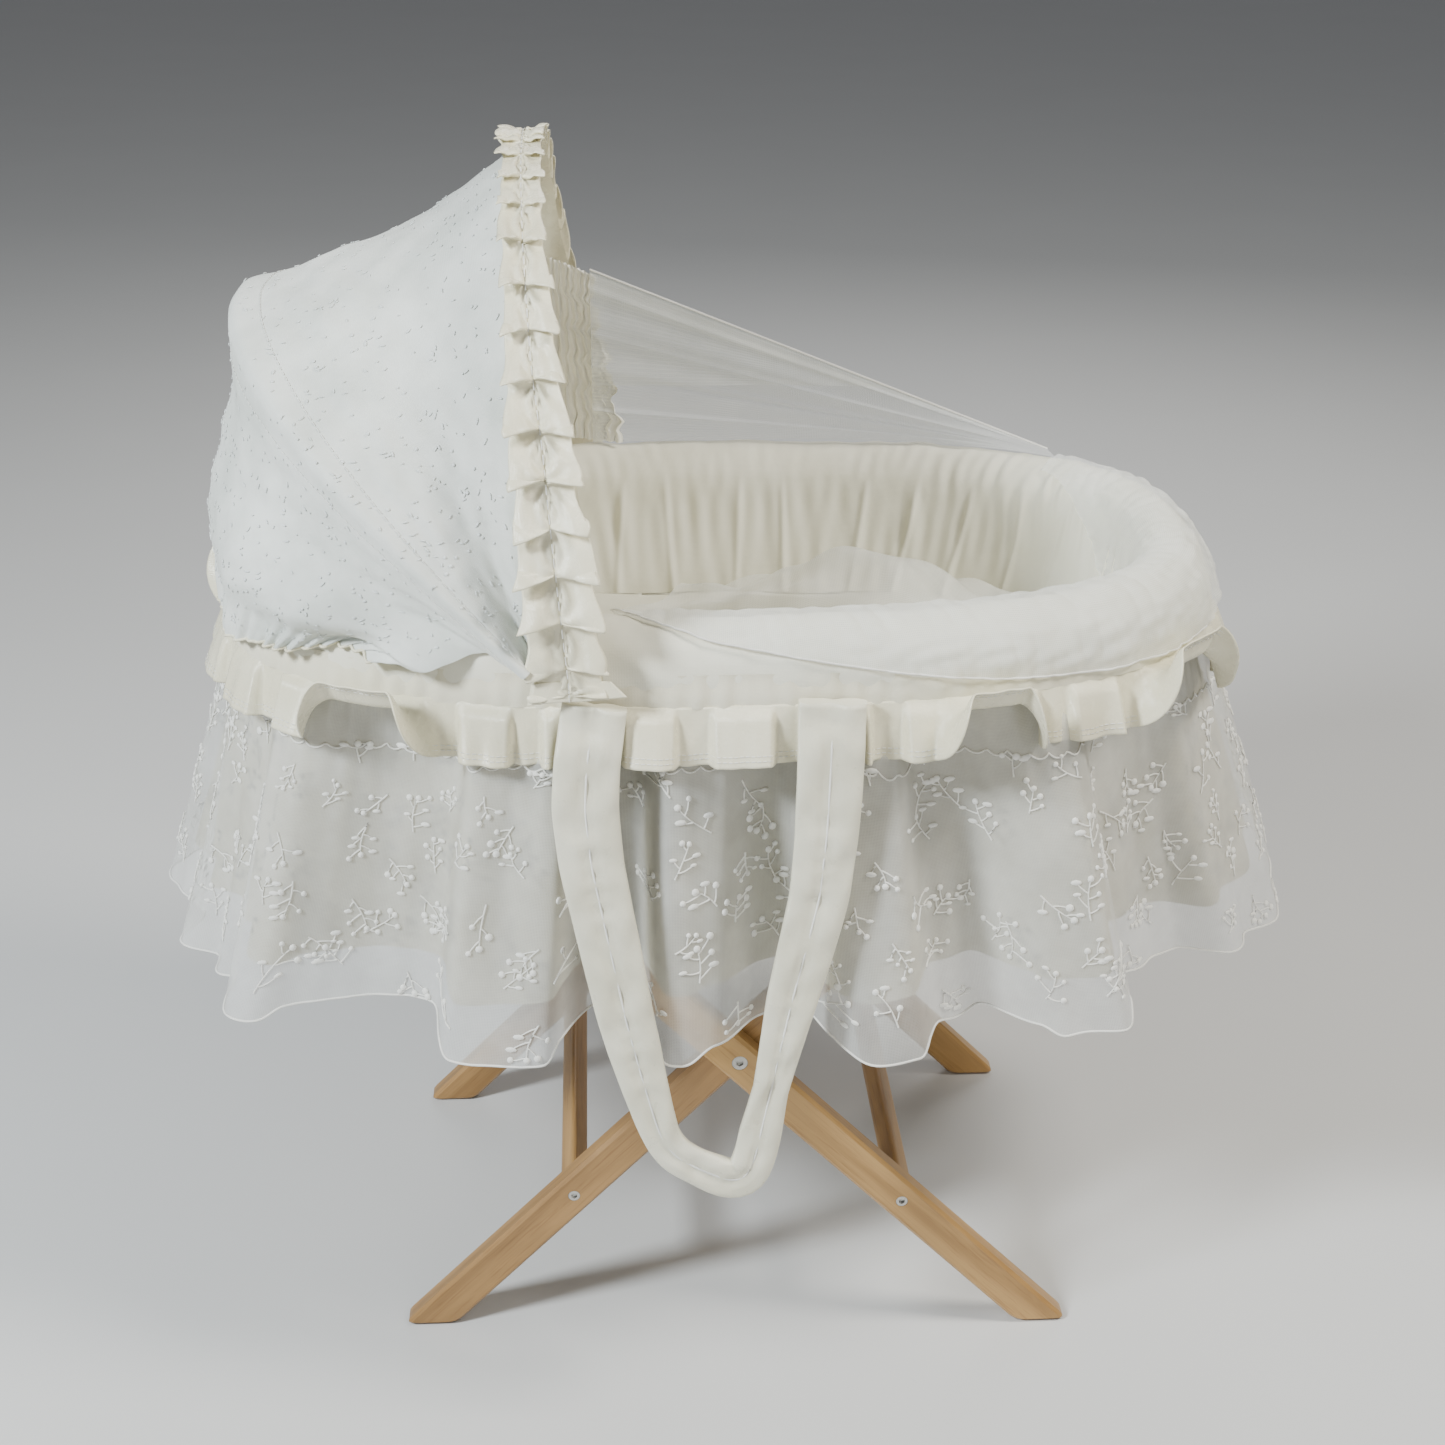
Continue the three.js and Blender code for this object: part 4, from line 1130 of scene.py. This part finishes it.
# ------------------------------------------------------------------ wicker and stand
def make_wicker():
    """The woven wall: thin canes in and out of upright stakes."""
    stakes, rows = 110, 22
    s = np.linspace(0, 1, stakes * 6, endpoint=False)[:, None]
    v = np.linspace(0, 1, rows * 5 + 1)[None]
    out = -62 + 62 * v
    row = np.floor(v * rows * 0.9999)
    within = (v * rows) % 1.0
    wave = np.cos(math.pi * (s * stakes + row)) * np.sin(math.pi * within) ** 0.6
    stake = bell(((s * stakes + 0.5) % 1.0) - 0.5, 0.16)
    thick = 2.1 * wave + 0.8 * stake
    points = xyz(*oval(s, out + thick), 478 + 160 * v)
    inner = xyz(*oval(s, out[:, ::-1] - 3.0 + 0.5 * thick[:, ::-1]), points[:, ::-1, 2])
    grid("wicker_wall_weave", np.concatenate([points, inner], 1), WICKER, "basket", "wicker",
         ("wicker_wall",), wrap_u=True, wrap_v=True)
    make_wicker_base()
    for twist, names in ((0, ("wicker_rim",)), (1, ())):
        ring = np.linspace(0, 1, 2400, endpoint=False)
        phase = TAU * (ring * 90 + twist / 2)
        line = xyz(*oval(ring, 5.2 * np.cos(phase)), 650 + 5.2 * np.sin(phase))
        build(f"wicker_border_{twist + 1}", *tube_mesh(line, 5.0, 7, True), WICKER, "basket", "wicker", names)


def make_wicker_base():
    """Ribs along the base with canes woven across them."""
    gx = np.linspace(-1, 1, 260)[:, None]
    gy = np.linspace(-1, 1, 180)[None]
    half_y = np.clip(1 - np.abs(gx) ** ROUND, 0, 1) ** (1 / ROUND)
    x = RIM_X + 316 * gx
    y = 155 * gy * half_y
    ribs = 14
    rib = np.floor((gy + 1) / 2 * ribs)
    weft = np.cos(math.pi * (x / 7.0 + rib))
    crest = np.sin(math.pi * (((gy + 1) / 2 * ribs) % 1.0)) ** 0.7
    bottom, top = xyz(x, y, 471.8 - 1.5 * weft * crest), xyz(x, y, 477.2)
    loop = np.concatenate([bottom, top[:, ::-1]], 1)
    grid("wicker_base_weave", loop, WICKER, "basket", "wicker", ("wicker_base",), wrap_v=True)


def dress_nodes():
    """Materials on the CAD nodes that stay in view."""
    tilt = math.radians(45.9)
    # The legs get lit and shaded copies of one beech: the outer legs' wood is painted lighter than the bars'
    # (painted light) and the inner legs' darker (painted shade).
    looks = [("leg_inner", wood_material("beech_inner_painted_shade", tilt, False, (0.22, 0.115, 0.034),
                                         (0.40, 0.225, 0.078))),
             ("leg_outer", wood_material("beech_outer_painted_light", -tilt, False, (0.31, 0.165, 0.048),
                                         (0.51, 0.30, 0.105))),
             ("bar_", wood_material("beech_bars", 0.0, True, (0.27, 0.145, 0.046), (0.46, 0.27, 0.10))),
             (("screw_", "pivot_", "hood_hinge", "hood_rivet"),
              metal_material("screw_steel", (0.62, 0.61, 0.58), 0.34)),
             (("hood_front_hoop", "hood_rear_hoop"), cane_material("hoop_cane", (0.55, 0.45, 0.28),
             (0.72, 0.62, 0.42))),
             ("", COTTON)]
    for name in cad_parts:
        obj = bpy.data.objects.get(name)
        if obj is not None:
            obj.data.materials.clear()
            obj.data.materials.append(next(look for start, look in looks if name.startswith(start)))


def make_webbing():
    """Two flat woven straps over the upper bars, with a sewn loop round each bar. The flat part rides on the
    straps body; the loops stay with their bars."""
    bar_x, bar_z, radius = 169.8, 456.22, 11.5
    lie = 12.95  # how far the flat part is above the bar's middle
    width = np.linspace(-15, 15, 13)
    for end, y0 in (("near", -90.0), ("far", 90.0)):
        flat_x = np.linspace(-bar_x, bar_x, 80)
        sag = 0.35 * np.sin((flat_x + bar_x) / (2 * bar_x) * math.pi)
        flat = ribbon(np.stack([flat_x, bar_z + lie - sag], 1), y0 + width)
        strap = grid(f"webbing_{end}", flat, WEBBING, "straps", "webbing", (f"webbing_strap_{end}",))
        thicken(strap, 0.0015)
        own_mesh(strap)
        for bar, sign, body in (("outer", -1, "stand_outer"), ("inner", 1, "stand_inner")):
            angle = np.linspace(math.pi * 0.5, -math.pi * 0.62, 26)
            round_x, round_z = sign * (bar_x + radius * np.cos(angle)), bar_z + radius * np.sin(angle)
            loop = ribbon(np.stack([round_x, round_z], 1), y0 + width)
            turn = grid(f"webbing_{end}_loop_{bar}", loop, WEBBING, body, "webbing")
            thicken(turn, 0.0012)


def ribbon(line, across):
    """A flat strip: (x, z) points swept over the given y values."""
    return xyz(line[:, :1], across, line[:, 1:])


def thicken(piece, depth):
    thick = piece.modifiers.new("thickness", "SOLIDIFY")
    thick.thickness, thick.offset = depth, 0


# ------------------------------------------------------------------ make everything
camera()
studio()

SATIN = cloth_material("ivory_satin", (0.74, 0.69, 0.50), (0.83, 0.79, 0.61), 0.27, 0.12, 0.0009, 0.0006, 0.8)
SATIN_STRAP = cloth_material("strap_satin", (0.68, 0.65, 0.50), (0.80, 0.77, 0.62), 0.30, 0.12, 0.0009,
                             0.0008, 0.75)
COTTON = cloth_material("cream_cotton", (0.71, 0.67, 0.52), (0.78, 0.745, 0.60), 0.78, 0.12)
COTTON_WHITE = cloth_material("white_cotton", (0.77, 0.75, 0.62), (0.84, 0.825, 0.71), 0.72, 0.15)
MATTRESS = cloth_material("mattress_ticking", (0.74, 0.74, 0.70), (0.80, 0.80, 0.76), 0.85, 0.1, 0.0016)
LINING = cloth_material("skirt_cotton", (0.44, 0.40, 0.285), (0.56, 0.515, 0.385), 0.85, 0.05, 0.0013)
# Hood cotton: its colour blotches are widened into painted shade. The darker grey-green end stands in for the
# shading over the hood, on top of the cloth's own slight tone variation.
HOOD_CLOTH_PAINTED_SHADE = cloth_material("hood_cotton_painted_shade", (0.59, 0.62, 0.575), (0.80, 0.82, 0.775), 0.66, 0.2, 0.0011,
                            0.0007)
WEBBING = cloth_material("webbing_cotton", (0.66, 0.61, 0.48), (0.76, 0.72, 0.60), 0.85, 0.05, 0.0022, 0.0003)
LACE = sheer_material("lace_organza", (0.74, 0.745, 0.71), (0.88, 0.885, 0.86), 0.24, 0.54, 0.0012)
NET = sheer_material("net_mesh", (0.80, 0.83, 0.82), (0.90, 0.92, 0.92), 0.20, 0.42, 0.0016)
VOILE = sheer_material("voile_cream", (0.90, 0.885, 0.80), (0.96, 0.945, 0.87), 0.86, 0.98, 0.0014)
VOILE_WHITE = sheer_material("voile_white", (0.86, 0.87, 0.82), (0.93, 0.94, 0.90), 0.30, 0.58, 0.0014)
THREAD = cloth_material("white_thread", (0.82, 0.81, 0.76), (0.90, 0.89, 0.84), 0.5, 0.3, 0.0005)
FLECK = cloth_material("hood_thread", (0.70, 0.74, 0.72), (0.86, 0.89, 0.88), 0.35, 0.3, 0.0005)
WICKER = cane_material("split_cane", (0.42, 0.30, 0.15), (0.68, 0.54, 0.33))

dress_nodes()
for make in (make_band, make_liner, make_bedding, make_skirt, make_embroidery, make_frill, make_hood,
             make_ruffle, make_netting, make_net_heading, make_net_drape, make_net_mound, make_handles,
             make_tabs, make_wicker, make_webbing):
    make()
